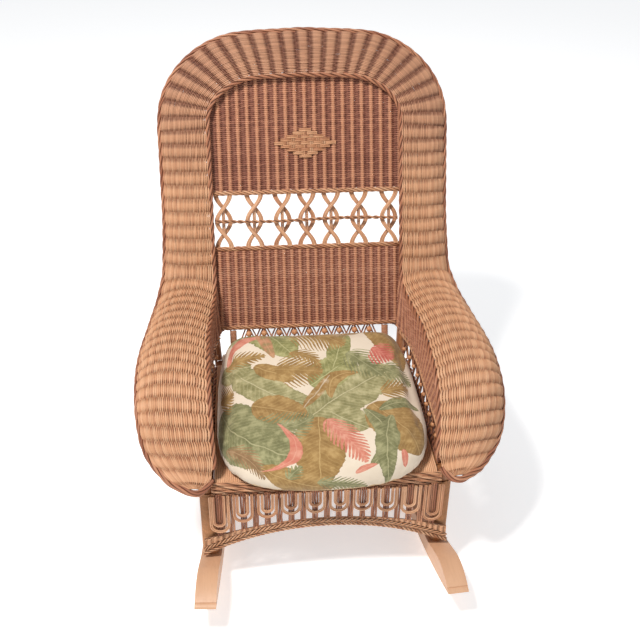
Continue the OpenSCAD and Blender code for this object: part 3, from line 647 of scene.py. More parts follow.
# =====================================================================
# Weaving
# =====================================================================
def twined(b, P, N, D, phase, amp, r, pw, power=1.0, sides=5, rnd=None, tone=0.0, thin=0.29, fat=0.56, lo=0.82, hi=0.97, crest_highlight=1.0, back=True, k0=0.6, taper=1.0, start=0.0):
    """Three-rod weaving. In every row two strands change places between the stakes, so that one lies over each
    stake, and a third strand packs the row behind them. P, N, D: (rows, n, 3) points, outward normals and the
    direction to the next row. r: the largest strand radius. pw: the row pitch."""
    rows = P.shape[0]
    phase = np.broadcast_to(phase, P.shape[:2])
    pw = np.broadcast_to(np.asarray(pw, float), P.shape[:2])
    for sg in (1, -1):
        c0 = sg * np.cos(math.pi * phase)
        c = np.sign(c0) * np.abs(c0) ** power
        k = np.clip((c0 - k0) / (0.97 - k0), 0, 1)
        k = k * k * (3 - 2 * k)
        lat = (1 - c) * 0.25 * pw + sg * 0.09 * pw * np.sin(math.pi * phase)
        Q = P + N * (amp * c + 0.5)[..., None] + D * lat[..., None]
        rr = None if rnd is None else (rnd * 97.3 + (0.37 if sg > 0 else 0.0)) % 1.0
        rad = np.minimum(pw * (thin + (fat - thin) * k), r) * taper
        e = np.clip((c0 - lo) / (hi - lo), 0, 1)
        # painted highlight: the weft is lightened (tone) where it crests over a stake; its crest value also lifts the
        # painted shade there and deepens it where the weft dips behind
        b.tubes(Q, N, rad, sides=sides, rnd=rr, tone=tone + crest_highlight * e * e * (3 - 2 * e), crest=np.minimum(1.0, 0.35 + c), start=start)
    if back:
        Q = (P - N * (0.45 * np.asarray(amp))[..., None] if np.ndim(amp) else P - N * 0.45 * amp) + D * (0.75 * pw)[..., None]
        ix = np.unique(np.r_[0:Q.shape[1]:2, Q.shape[1] - 1])
        Q, Nb, rb = Q[:, ix], np.broadcast_to(N, P.shape)[:, ix], (0.46 * pw * taper)[:, ix]
        if Q.shape[1] > 2:
            # painted shade: the packing strand behind the row is darkened (tone -0.75)
            b.tubes(Q, Nb, rb, sides=sides, tone=-0.75, start=start)


R_ROWS = 34
STAKE_P = 31.5
n_int = int(round(BAND_LEN / STAKE_P / 2) * 2)
stake_s = np.linspace(0, BAND_LEN, n_int + 1)
per_int = 5
DEPTH = 3.0


def band_gap(u):
    e = np.minimum(u, 2 * M - u)
    return 8.5 + 0.5 * np.maximum(0, 4.2 - e)


b_left, b_back, b_right = Build(), Build(), Build()
s_cut = [s_of_u(0.3), s_of_u(17.0), s_of_u(2 * M - 17.0), s_of_u(2 * M - 0.3)]
s_in = [s_of_u(1.2), s_of_u(17.0), s_of_u(2 * M - 17.0), s_of_u(2 * M - 1.2)]
row_rnd = RNG.random(R_ROWS)
for bld, j in ((b_right, 0), (b_back, 1), (b_left, 2)):
    for half in (0, 1):
        s0, s1 = (s_cut if half == 0 else s_in)[j], (s_cut if half == 0 else s_in)[j + 1]
        n = int(round((s1 - s0) / STAKE_P * per_int)) + 1
        # where two builds meet, each runs one step on with thinner ends tucked inside the other
        ds = (s1 - s0) / (n - 1)
        before, after = (ds if j > 0 else 0.0), (ds if j < 2 else 0.0)
        n += (j > 0) + (j < 2)
        sv = np.linspace(s0 - before, s1 + after, n)
        tap = np.ones(n)
        if j > 0:
            tap[0] = 0.8
        if j < 2:
            tap[-1] = 0.8
        u = u_of_s(sv)
        W = np.linalg.norm(crv(edge_out, u) - crv(edge_in, u), axis=1)
        ta, tb = 2.5 / W, 1 - (band_gap(u) - 2.5) / W
        q = (np.arange(R_ROWS)[half::2] + 0.5) / R_ROWS
        t = ta[None, :] + (tb - ta)[None, :] * q[:, None]
        U = np.broadcast_to(u[None], t.shape)
        P = band(U, t, DEPTH)
        dPt = unit(band(U, np.clip(t + 0.004, 0, 1), DEPTH) - band(U, np.clip(t - 0.004, 0, 1), DEPTH))
        Nn = unit(np.cross(dPt, np.gradient(P, axis=1)))
        pitch = np.linalg.norm(np.diff(P, axis=0), axis=2) / 2
        pitch = np.vstack([pitch[:1], (pitch[:-1] + pitch[1:]) / 2, pitch[-1:]])
        lone = 1.0 + np.clip(2.0 - np.minimum(u, 2 * M - u), 0, 1) * 0.9
        pw = pitch * lone[None]
        r = np.full_like(pw, 2.7)
        rn = row_rnd[half::2]
        wob = np.sin(sv[None] / 37.0 + rn[:, None] * 40) * 0.22 + np.sin(sv[None] / 11.0 + rn[:, None] * 90) * 0.14
        amp = 2.7 * np.clip(pw / 3.6, 0.3, 1.0)
        ph = sv / BAND_LEN * n_int
        twined(bld, P + dPt * wob[..., None], Nn, dPt, ph[None], amp, r, pw, power=0.75, rnd=rn, thin=np.interp(P[..., 2], [420, 700, 900], [0.325, 0.315, 0.255]), fat=0.54, crest_highlight=0.45, lo=0.3, hi=0.85, k0=0.2,
               taper=tap[None], start=sv[0] / 1000.0)
# stakes across the band
for k, sk in enumerate(stake_s):
    if sk < s_cut[0] + 8 or sk > s_cut[3] - 8:
        continue
    bld = b_right if sk < s_cut[1] else (b_back if sk < s_cut[2] else b_left)
    u = float(u_of_s(sk))
    W = float(np.linalg.norm(crv(edge_out, np.array(u)) - crv(edge_in, np.array(u))))
    t = np.linspace(3.0 / W, 1 - (float(band_gap(np.array(u))) - 4.0) / W, 20)
    P = band(np.full_like(t, u), t, DEPTH)
    Tn = np.broadcast_to(Tu(np.array(u)), P.shape)
    Nn = unit(np.cross(np.gradient(P, axis=0), Tn))
    wd = min(1.0, W / 70.0)
    for sgn in (-1, 1):
        bld.tubes((P + Tn * sgn * 2.2 * wd)[None], Nn[None], 2.1 * wd, sides=6, tone=0.75)
b_right.make("woven_right_arm", mat_band, "chair", "reed", ("rolled_band",))
b_back.make("woven_back_band", mat_band, "chair", "reed", ("rolled_band",))
b_left.make("woven_left_arm", mat_band, "chair", "reed", ("rolled_band",))

# ---- border braids of the band
b = Build()
u = np.linspace(2.45, 2 * M - 2.45, 900)
P = crv(edge_in, u)
twist(b, P, Nu(u), 3, 3.3, 3.0, 74.0, step=4.6, sides=6, squash=0.9)
b.make("inner_border", mat_braid, "chair", "reed", ("inner_border_braid",))

b = Build()
tip = np.array([[240, -293, seat_h + 13], [246, -303.5, seat_h + 6], [256, -313, seat_h + 0.5], [270, -320, seat_h - 3], [284, -317.5, seat_h + 1]])
u = np.linspace(0.35, 2 * M - 0.35, 900)
P = np.vstack([tip, crv(edge_out, u), tip[::-1] * flip])
V = np.vstack([np.repeat(Nu(np.array([0.5])), 5, 0), Nu(u), np.repeat(Nu(np.array([2 * M - 0.5])), 5, 0)])
# smooth the joined path
P1, q1, (V1,) = resample(P, 6.0, [V])
for _ in range(3):
    P1[1:-1] = (P1[:-2] + 2 * P1[1:-1] + P1[2:]) / 4
twist(b, P1, V1, 5, 4.7, 2.9, 150.0, step=5.0, sides=6, squash=0.95)
b.make("outer_border", mat_braid, "chair", "reed", ("outer_border_braid",))

# ---- panels of the back
def plane_weave(b, Ls, hw, p, f0, r, amp, pitch, power, per=8):
    """Rows of weaving across the back at the heights Ls, half as wide as hw(L), over stakes every p."""
    for L in Ls:
        h = hw(L)
        n = max(6, int(2 * h / p * per))
        x = np.linspace(-h, h, n) + RNG.normal(0, 0.3)
        wob = np.sin(x / 31 + L * 1.7) * 0.16
        P = bpv(x, L + wob - 0.25 * pitch, f0)[None]
        twined(b, P, np.broadcast_to(FR, P.shape), np.broadcast_to(UP, P.shape), (x / p)[None], amp, 2.7, pitch, power=power)


def arch_hw(L):
    """Half width inside the arch at the height L."""
    if L <= in_cl:
        return back_in
    k = min(1.0, (L - in_cl) / (arch_in + 3.0 - in_cl))
    return in_cx + (back_in - in_cx) * math.sqrt(max(0.0, 1 - k * k))


def uprights(b, xs, top, bot, r, gap, tone):
    for x0 in xs:
        Lq = np.linspace(bot, top(x0), 10)
        for sgn in (-1, 1):
            P = bpv(np.full(10, x0 + sgn * gap), Lq, 0.0)
            b.tubes(P[None], np.broadcast_to(FR, P.shape)[None], r, sides=6, tone=tone)


b = Build()
pitch = 4.4
px = 22.4
plane_weave(b, np.arange(345.0, 608.0, pitch), lambda L: max(20.0, arch_hw(L) + 3.5), px, 0.0, pitch * 0.43, 2.3, pitch, 1.5)
arch_L = lambda x0: in_cl + (arch_in - in_cl) * math.sqrt(max(0.0, 1 - max(0.0, (abs(x0) - in_cx) / (back_in - in_cx)) ** 2))
uprights(b, [k * px for k in range(-9, 10)], arch_L, 338, 1.9, 1.7, 1.0)
b.make("back_upper_weave", mat_panel, "chair", "panel_reed", ("back_upper_panel",))

b = Build()
px2 = 19.2
plane_weave(b, np.arange(18.5, 201.0, pitch), lambda L: 213 + 17 * L / 200.0, px2, 0.0, pitch * 0.43, 2.3, pitch, 1.5)
uprights(b, [k * px2 for k in range(-11, 12)], lambda x0: 205.0, 13.0, 1.8, 1.6, 1.0)
b.make("back_lower_weave", mat_panel, "chair", "panel_reed", ("back_lower_panel",))

# ---- diamond of flat woven strands
b = Build()
rowh, cw = 7.6, 16.0
for i in range(-4, 5):
    half = 14.5 * (5 - abs(i))
    n = max(8, int(half / 2.2))
    x = np.linspace(-half, half, n * 2)
    for sub in (-1, 1):
        ph = x / 14.5 + (i % 2)
        w = np.cos(math.pi * ph)
        fz = 6.0 + 1.6 * w
        P = bpv(x, 451 + i * rowh + sub * 1.9, fz)
        b.tubes(P[None], np.broadcast_to(FR, P.shape)[None], 2.05, sides=6, tone=0.05, flat=0.7)
for j in range(-4, 5):
    x0 = j * 14.5
    hh = rowh * (4.6 - abs(j))
    if hh <= 4:
        continue
    Lq = np.linspace(451 - hh, 451 + hh, 16)
    ph = (Lq - 451) / rowh + j
    fz = 6.0 - 1.5 * np.cos(math.pi * ph) * 0.6
    for sub in (-1, 1):
        P = bpv(np.full(16, x0 + sub * 2.0), Lq, fz)
        b.tubes(P[None], np.broadcast_to(FR, P.shape)[None], 2.0, sides=6, tone=-0.25, flat=0.7)
b.make("diamond_weave", mat_light, "chair", "reed", ("diamond_motif",))

# ---- braids across the back
def cross_braid(name, L, w, strands, R, r, lay, f, rep, mat=mat_light):
    b = Build()
    x = np.linspace(-w, w, 60)
    P = bpv(x, L, f)
    twist(b, P, np.broadcast_to(FR, P.shape), strands, R, r, lay, step=2.6, sides=7)
    return b, rep, mat, name


for args in (("upper_panel_bottom_braid", 338, back_in + 2, 4, 3.5, 2.5, 62.0, 0.5, ("upper_panel_braid",)),
             ("lower_panel_top_twist", 206, 227, 4, 3.5, 2.5, 62.0, 0.5, ("lower_panel_top_braid",)),
             ("lower_panel_bottom_twist", 13, 212, 4, 3.5, 2.5, 62.0, 0.5, ("lower_panel_bottom_braid",))):
    bb_, rep, mt, nm = cross_braid(*args)
    bb_.make(nm, mt, "chair", "reed", rep)
b = Build()
x = np.linspace(-back_in + 9, back_in - 9, 80)
P = bpv(x, 272 + 2.0 * np.sin(x / 57.0), 13.5)
twist(b, P, np.broadcast_to(FR, P.shape), 2, 2.3, 2.3, 34.0, step=2.4, sides=6)
b.make("lattice_cross_twist", mat_light, "chair", "reed", ("lattice_twist",))

# ---- openwork: tripled reeds that cross low and high, with straight reeds in each eye
b = Build()
LAT = (-198.0, -125.0, -58.5, 0.0, 58.5, 125.0, 198.0)
for cx in LAT:
    q = np.linspace(0, 1, 26)
    for s in (-1, 1):
        j = RNG.normal(0, 0.8, 2)
        for d in (-3.9, 0.0, 3.9):
            xx = cx + s * 16.5 * np.cos(2 * math.pi * q) + d * (1 - 0.15 * np.sin(math.pi * q)) + j[0] * np.sin(math.pi * q)
            P = bpv(xx, 209 + 126 * q, s * 5.4 + (0.5 if d == 0 else 0))
            b.tubes(P[None], np.broadcast_to(FR, P.shape)[None], 2.05, sides=7, tone=0.25)
    for d in (-2.0, 2.0):
        P = bpv(np.full(10, cx + d), np.linspace(236, 308, 10), 0.0)
        b.tubes(P[None], np.broadcast_to(FR, P.shape)[None], 2.0, sides=7, tone=0.45)
b.make("lattice_openwork", mat_light, "chair", "reed", ("lattice_reeds",))

# ---- gallery of crossed reeds and beads, with a wrapped post at each end
GAL = 37.0
b = Build()
for i in range(-4, 5):
    P = bpv(np.full(6, i * GAL), np.linspace(-63, 9, 6), 0.0)
    b.tubes(P[None], np.broadcast_to(FR, P.shape)[None], 1.9, sides=7, tone=0.2)
q = np.linspace(0, 1, 9)
for i in range(-4, 4):
    for k, s in enumerate((-1, 1)):
        for d in (-3.5, 3.5):
            P = bpv((i + 0.5) * GAL + d + s * 14 * (2 * q - 1) + 1.2 * s * np.sin(2 * math.pi * q), -61 + 68 * q, -9 - 4.6 * k)
            b.tubes(P[None], np.broadcast_to(FR, P.shape)[None], 1.9, sides=7, tone=0.3)
for s in (-1, 1):
    for d in (-3.5, 3.5):
        P = bpv(s * (180.5 - 28 * q) + d, -61 + 68 * q, -11.5)
        b.tubes(P[None], np.broadcast_to(FR, P.shape)[None], 1.9, sides=7, tone=0.3)
    turns = 68 / 3.3
    a = np.linspace(0, turns * 2 * math.pi, int(turns * 18))
    P = bpv(s * 186 + 6.8 * np.cos(a), np.linspace(-62, 6, len(a)), 6.8 * np.sin(a))
    b.tubes(P[None], (np.cos(a)[:, None] * X + np.sin(a)[:, None] * FR)[None], 1.7, sides=6, rnd=[0.9], tone=0.5)
b.make("back_gallery_crosses", mat_braid, "chair", "reed", ("back_gallery_reeds",))
b = Build()
b.balls(np.array([bp(i * GAL, -4, 0) for i in range(-4, 5)]), 7.3, axis=UP)
b.make("back_gallery_turned_beads", mat_bead, "chair", "bead_wood", ("back_gallery_beads",))

# ---- arm panels
gal_z0, gal_z1 = seat_h + 3, seat_h + 56


def rim_x(y):
    y = np.asarray(y, float)
    return 244 - 3.5 * np.maximum(0, y) / 60 - 16 * (np.maximum(0, y - 60) / 104) ** 2


def arm_top(u):
    u = np.asarray(u, float)
    return crv(edge_in, u) + np.array([3.0, 0, 0]) + np.where(u[..., None] < 8, np.array([0, 7.0, -4.0]), np.array([0, 0, -7.0]))


def arm_low(u):
    y = -252 + 416 * (np.asarray(u, float) - 4) / 11.6
    return np.stack([rim_x(y) - 3, y, np.full_like(y, gal_z1 + 12)], -1)


for s, side in ((1, "right"), (-1, "left")):
    S = np.array([s, 1.0, 1.0])
    ug = np.linspace(4.0, 16.6, 260)
    top, low = arm_top(ug), arm_low(ug)
    ar = np.concatenate([[0], np.cumsum(np.linalg.norm(np.diff((top + low) / 2, axis=0), axis=1))])
    rows = 25
    sp = 20.5
    npt = int(ar[-1] / sp * 6)
    ss = np.linspace(0, ar[-1], npt)
    uu = np.interp(ss, ar, ug)
    top, low = arm_top(uu), arm_low(uu)
    b = Build()
    for half in (0, 1):
        k = (np.arange(rows)[half::2] + 0.5)[:, None, None] / rows
        # every other row runs out where the panel narrows to the front
        j0 = 0 if half == 0 else int(npt * 0.06)
        P = (top[None] * (1 - k) + low[None] * k)[:, j0:] + X * 3.0
        Dn = np.broadcast_to(unit(low - top)[None, j0:], P.shape)
        Nn = np.broadcast_to(-X, P.shape)
        pv = (np.linalg.norm(top - low, axis=1) / rows)[None, j0:]
        rr = 2.4
        twined(b, P * S, Nn * S, Dn * S, (ss / sp)[None, j0:], 2.2 * np.clip(pv / 3.5, 0.2, 1), rr, pv, power=1.4)
    for j in range(1, int(ar[-1] / sp) + 1):
        u0 = np.interp(j * sp, ar, ug)
        a0, c0 = arm_top(np.array([u0]))[0] + [3, 0, 2], arm_low(np.array([u0]))[0] + [3, 0, -6]
        kk = np.linspace(0, 1, 8)[:, None]
        for d in (-1.6, 1.6):
            PP = a0 * (1 - kk) + c0 * kk + Y * d
            b.tubes((PP * S)[None], np.broadcast_to(-X * S, PP.shape)[None], 1.7, sides=6, tone=0.9)
    b.make(f"{side}_arm_inner_weave", mat_panel, "chair", "panel_reed", (f"{side}_arm_panel",))
    b = Build()
    yy = np.linspace(-255, 155, 60)
    P = np.stack([rim_x(yy), yy, np.full(60, gal_z1 + 5.5)], 1) * S
    twist(b, P, np.broadcast_to(-X * S, P.shape), 3, 3.0, 2.6, 46.0, step=3.4, sides=6)
    b.make(f"{side}_arm_bottom_twist", mat_light, "chair", "reed", (f"{side}_arm_panel_braid",))

gy = np.array([-243 + i * GAL for i in range(11)])
b, b2 = Build(), Build()
for s in (-1, 1):
    for y0 in gy:
        x0 = float(rim_x(y0))
        P = np.linspace([s * x0, y0, gal_z0 - 2], [s * x0, y0, gal_z1 + 1], 5)
        b.tubes(P[None], np.broadcast_to(-X * s, P.shape)[None], 1.9, sides=7)
        for e in (-1, 1):
            for d in (-3.5, 3.5):
                ya, yb = y0 + d - e * 11, y0 + d + e * 11
                off = 5.0 + 2.2 * e
                P = np.linspace([s * (float(rim_x(ya)) + off), ya, gal_z0 - 1], [s * (float(rim_x(yb)) + off), yb, gal_z1 + 1], 5)
                b.tubes(P[None], np.broadcast_to(-X * s, P.shape)[None], 1.8, sides=7, tone=0.2)
        b2.balls(np.array([[s * x0, y0, gal_z0 + 24]]), 5.6, axis=Z)
b.make("arm_gallery_crosses", mat_braid, "chair", "reed", ("arm_gallery_reeds",))
b2.make("arm_gallery_turned_beads", mat_bead, "chair", "bead_wood", ("arm_gallery_beads",))

# ---- seat deck: fine windings from front to back, and its edge braids
deck_lo, deck_hi = mm("seat_deck")
b = Build()
n = 116
xs = np.linspace(-232, 232, n)
for i, x0 in enumerate(xs):
    half = abs(x0)
    y = np.array([deck_lo[1] - 3, deck_lo[1] + 4, deck_lo[1] + 60, -40, 60, deck_hi[1] - 4, deck_hi[1]])
    zc = seat_h - 2.6
    z = np.array([zc - 6, zc, zc, zc, zc, zc, zc - 6])
    P = np.stack([np.full(7, x0) * np.array([1, 1, 1, 0.995, 0.985, 0.975, 0.97]), y, z], 1)
    b.tubes(P[None], np.broadcast_to(Z, P.shape)[None], 2.1, sides=6, tone=0.9)
# rows across, under the windings, so the deck is closed from below
for y0 in np.arange(deck_lo[1] + 6, deck_hi[1] - 2, 5.0):
    P = np.linspace([-231, y0, seat_h - 7.0], [231, y0, seat_h - 7.0], 5)
    b.tubes(P[None], np.broadcast_to(-Z, P.shape)[None], 2.4, sides=5)
b.make("deck_windings", mat_light, "chair", "reed", ("seat_deck",))

b = Build()
for k, (dy, dz) in enumerate(((-1.0, -4.5), (-4.2, -12.0), (-4.4, -19.5), (-2.5, -26.5))):
    P = np.linspace([-241, -290 + dy, seat_h + dz], [241, -290 + dy, seat_h + dz], 60)
    P[:, 2] += 0.6 * np.sin(P[:, 0] / 40.0 + k)
    for pair in (0.0, 0.16):
        twist(b, P, np.broadcast_to(-Y, P.shape), 2, 2.3, 1.75, 68.0, step=3.4, sides=6, phase=2 * math.pi * pair + k * 1.1)
b.make("seat_front_twists", mat_light, "chair", "reed", ("seat_front_braid",))
for s, side in ((1, "right"), (-1, "left")):
    b = Build()
    P = np.linspace([s * 243, -255, seat_h - 4], [s * 231, deck_hi[1] - 12, seat_h - 4], 40)
    twist(b, P, np.broadcast_to(Z, P.shape), 2, 2.5, 2.6, 30.0, step=2.8, sides=7)
    b.make(f"{side}_seat_edge_twist", mat_braid, "chair", "reed", (f"{side}_seat_braid",))

# ---- leg windings
def winding(name, node, cx, cy, z0, z1, rad, rr=1.75):
    b = Build()
    turns = (z1 - z0) / (rr * 2 * 0.98)
    n = int(turns * 22)
    a = np.linspace(0, turns * 2 * math.pi, n)
    P = np.stack([cx + rad * np.cos(a), cy + rad * np.sin(a), np.linspace(z0, z1, n)], 1)
    Nn = np.stack([np.cos(a), np.sin(a), 0 * a], 1)
    b.tubes(P[None], Nn[None], rr, sides=6, rnd=[0.6])
    return b.make(name, mat_wrap, "chair", "reed", (node,))


for nm in ("left_front", "right_front", "left_rear", "right_rear"):
    lo, hi = mm(nm + "_leg_wrap")
    winding(nm + "_leg_winding", nm + "_leg_wrap", (lo[0] + hi[0]) / 2, (lo[1] + hi[1]) / 2, lo[2] + 1.8, seat_h - 33, (hi[0] - lo[0]) / 2 - 1.75)


# ---- aprons
def u_loop(cx, y, z0, z1, w, n=14):
    a = np.linspace(0, math.pi, n)
    x = np.concatenate([[cx - w, cx - w, cx - w], cx - w * np.cos(a), [cx + w, cx + w, cx + w]])
    z = np.concatenate([[z1, (z1 * 2 + z0) / 3, (z1 + z0 * 2) / 3], z0 - w * np.sin(a), [(z1 + z0 * 2) / 3, (z1 * 2 + z0) / 3, z1]])
    return np.stack([x, np.full_like(x, y), z], 1)


def arch_z(x):
    return np.sqrt(544.0 ** 2 - x * x) - 400


ap_y, loop_p = -297.0, 50.4
ap_top = seat_h - 29
def loop_z(x):
    return 211 - 0.00055 * x * x - (15 if abs(x) > 200 else 0)


def strip_z(x):
    return np.sqrt(746.5 ** 2 - np.asarray(x, float) ** 2) - 578.5


b = Build()
for i in range(10):
    x0 = (i - 4.5) * loop_p
    jig = RNG.normal(0, 0.9, 4)
    for w, z0, jx, jz in ((17.0, loop_z(x0), 0, 1), (20.2, loop_z(x0), 0, 1), (9.2, loop_z(x0) + 7.8, 2, 3), (12.2, loop_z(x0) + 7.8, 2, 3)):
        P = u_loop(x0 + jig[jx], ap_y - 5.6 - (0.7 if w in (20.2, 12.2) else 0), z0 + jig[jz], ap_top + 3, w)
        b.tubes(P[None], np.broadcast_to(-Y, P.shape)[None], 1.75, sides=7, tone=0.2)
b.make("front_apron_u_loops", mat_light, "chair", "reed", ("front_apron_loops",))
b = Build()
for i in range(19):
    x0 = (i - 9) * loop_p / 2
    for d in (-4.7, 0.0, 4.7):
        zb = float(strip_z(x0 + d)) - 3.0
        P = np.linspace([x0 + d * 0.92, ap_y + (0.9 if d == 0 else 0), zb], [x0 + d, ap_y, ap_top + 3], 7)
        P[:, 0] += RNG.normal(0, 0.3, 7)
        b.tubes(P[None], np.broadcast_to(-Y, P.shape)[None], 2.2, sides=7)
b.make("front_apron_uprights", mat_braid, "chair", "reed", ("front_apron_stakes",))
b = Build()
for k in range(2):
    x = np.linspace(-265 + k * 1.5, 265 - k * 1.5, 120)
    rr = 544 + 5.6 + 10.4 * k
    P = np.stack([x, np.full_like(x, ap_y), -400 + np.sqrt(rr * rr - x * x)], 1)
    hand = 1 if k == 0 else -1
    twist(b, P, np.broadcast_to(-Y, P.shape) , 4, 3.3, 1.9, 44.0 * hand, step=2.9, sides=6)
# woven strip above the braid
nrow = 6
for j in range(nrow):
    x = np.linspace(-262, 262, 190)
    lo_z, hi_z = -400 + np.sqrt(566.5 ** 2 - x * x), strip_z(x)
    P = np.stack([x, np.full_like(x, ap_y), lo_z + (hi_z - lo_z) * (j + 0.5) / nrow], 1)[None]
    pw = ((hi_z - lo_z) / nrow)[None]
    twined(b, P, np.broadcast_to(-Y, P.shape), np.broadcast_to(Z, P.shape), (x / 12.6)[None], 2.0 * np.clip(pw / 3, 0.2, 1),
           1.9, pw, power=1.0, tone=0.4)
b.make("front_apron_arch_braid", mat_light, "chair", "reed", ("front_apron_braid",))


def plain_apron(name, node, org, ax, L, n):
    """Uprights, loops and arched braid along the direction ax from org."""
    b = Build()
    out = np.cross(ax, Z)
    p, c = L / n, L / 2
    az = lambda x: np.sqrt(1000.0 ** 2 - (x - c) ** 2) - 1000

    def place(P):
        return org + P[:, :1] * ax + P[:, 1:2] * (-out) + np.concatenate([np.zeros((len(P), 2)), P[:, 2:3]], 1)
    for i in range(n):
        x0 = (i + 0.5) * p
        for w in (10.0, 13.2, 16.2):
            P = place(u_loop(x0, 0.0, 178 + float(az(x0)), ap_top + 2, w))
            b.tubes(P[None], np.broadcast_to(out, P.shape)[None], 1.65, sides=6)
    for i in range(1, n):
        x0 = i * p
        for d in (-4.2, 0.0, 4.2):
            P = place(np.linspace([x0 + d, 0, 125 + float(az(x0))], [x0 + d, 0, ap_top + 2], 4))
            b.tubes(P[None], np.broadcast_to(out, P.shape)[None], 2.0, sides=6, tone=-0.1)
    for k in range(3):
        x = np.linspace(2, L - 2, 70)
        rr = 1000 + 3.5 + 6.2 * k
        P = place(np.stack([x, 0 * x, 112 - 1000 + np.sqrt(rr * rr - (x - c) ** 2)], 1))
        twist(b, P, np.broadcast_to(out, P.shape), 2, 2.1, 2.2, 34.0, step=3.2, sides=6, phase=k * math.pi / 2)
    # twisted rows along the top, under the edge of the seat
    for k in range(3):
        P = place(np.linspace([0, -1.0, seat_h - 8 - 7.5 * k], [L, -1.0, seat_h - 8 - 7.5 * k], 50))
        twist(b, P, np.broadcast_to(out, P.shape), 2, 2.4, 2.5, 34.0, step=3.2, sides=6, phase=k * math.pi / 2)
    return b.make(name, mat_braid, "chair", "reed", (node,))


wr = 19.0
v = np.array([rear_x - leg_x, rear_y - leg_y, 0.0])
Lr = float(np.linalg.norm(v))
ax = v / Lr
nrm = np.array([ax[1], -ax[0], 0.0])            # outward on the right-hand side
org = np.array([leg_x, leg_y, 0.0]) + ax * (wr + 1) + nrm * 16.5
plain_apron("right_apron_work", "right_apron", org, ax, Lr - 2 * wr - 2, 8)
axl = ax * flip
plain_apron("left_apron_work", "left_apron", org * flip + axl * (Lr - 2 * wr - 2), -axl, Lr - 2 * wr - 2, 8)
plain_apron("rear_apron_work", "rear_apron", np.array([rear_x - wr - 1, rear_y + 16.0, 0]), -X, 2 * (rear_x - wr - 1), 8)

# =====================================================================
# Wooden parts keep their CAD shape, and get an edge radius and real wood
# =====================================================================
def dress(node, mat, bevel=0.0):
    ob = NODES[node]
    ob.data.materials.clear()
    ob.data.materials.append(mat)
    if bevel:
        md = ob.modifiers.new("edge", "BEVEL")
        md.width = bevel
        md.segments = 3
        md.limit_method = "ANGLE"
        md.angle_limit = math.radians(40)
        md.harden_normals = False


for nn in ("left_rocker", "right_rocker"):
    dress(nn, mat_rocker, 0.004)
    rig.slot(NODES[nn], "rocker_wood")
for nn in ("left_front_leg", "right_front_leg", "left_rear_leg", "right_rear_leg", "left_back_post", "right_back_post",
           "left_arm_post", "right_arm_post", "inner_hoop", "outer_hoop"):
    dress(nn, mat_frame)
for nn in ("left_side_stretcher", "right_side_stretcher"):
    dress(nn, mat_rocker)
for nn in ("seat_front_rail", "seat_rear_rail", "left_seat_rail", "right_seat_rail"):
    dress(nn, mat_rail, 0.0015)
mat_board = wood_material("board_wood", srgb(206, 176, 132), srgb(186, 152, 108), srgb(150, 116, 78), axis=0)
dress("cushion_board", mat_board)
m, t, bsdf = new_mat("screw_steel")
geo = t.n("ShaderNodeNewGeometry")
sc = t.noise(geo.outputs["Position"], 900.0, 3.0)
t.put(bsdf.inputs["Base Color"], t.ramp(sc, [(0.3, srgb(150, 150, 152)), (0.7, srgb(196, 196, 200))]))
bsdf.inputs["Metallic"].default_value = 1.0
t.put(bsdf.inputs["Roughness"], t.range(sc, 0.3, 0.7, 0.28, 0.5))
dress("rocker_screws", m)
m, t, bsdf = new_mat("foam_core")
geo = t.n("ShaderNodeNewGeometry")
sc = t.noise(geo.outputs["Position"], 400.0, 4.0)
t.put(bsdf.inputs["Base Color"], t.ramp(sc, [(0.3, srgb(222, 208, 170)), (0.7, srgb(240, 230, 198))]))
bsdf.inputs["Roughness"].default_value = 0.95
dress("cushion_foam", m)

# =====================================================================
# Seat cushion: sewn cover over foam, swelled by a cloth simulation
# =====================================================================
PLAN = np.array([(0, 138), (90, 138), (150, 137), (186, 128), (207, 104), (219, 60), (227, 0), (230, -70), (231, -140),
                 (229, -200), (218, -250), (196, -290), (160, -320), (112, -338), (56, -346), (0, -348)], float)
ring = np.vstack([PLAN, PLAN[14:0:-1] * [-1, 1]])
PAD_C = np.array([0.0, -100.0])


def smooth_ring(R, k=4):
    """A rounded closed curve through the points of R."""
    out = []
    n = len(R)
    for i in range(n):
        p0, p1, p2, p3 = R[(i - 1) % n], R[i], R[(i + 1) % n], R[(i + 2) % n]
        for j in range(k):
            t = j / k
            out.append(0.5 * (2 * p1 + (p2 - p0) * t + (2 * p0 - 5 * p1 + 4 * p2 - p3) * t * t + (3 * p1 - p0 - 3 * p2 + p3) * t ** 3))
    return np.array(out)


ring_s = smooth_ring(ring)
ring_v = ring_s - PAD_C
ring_r = np.linalg.norm(ring_v, axis=1)
ring_a = np.arctan2(ring_v[:, 1], ring_v[:, 0])
order = np.argsort(ring_a)


def ring_at(a):
    return np.interp(a, ring_a[order], ring_r[order], period=2 * math.pi)


def rear_lift(y, z):
    """The cushion is thicker where it is pushed up against the back."""
    return 33.0 * np.sin(math.pi / 2 * np.clip((y + 190) / 300, 0, 1)) ** 2 * np.clip((z - 291) / 62, 0, 1)


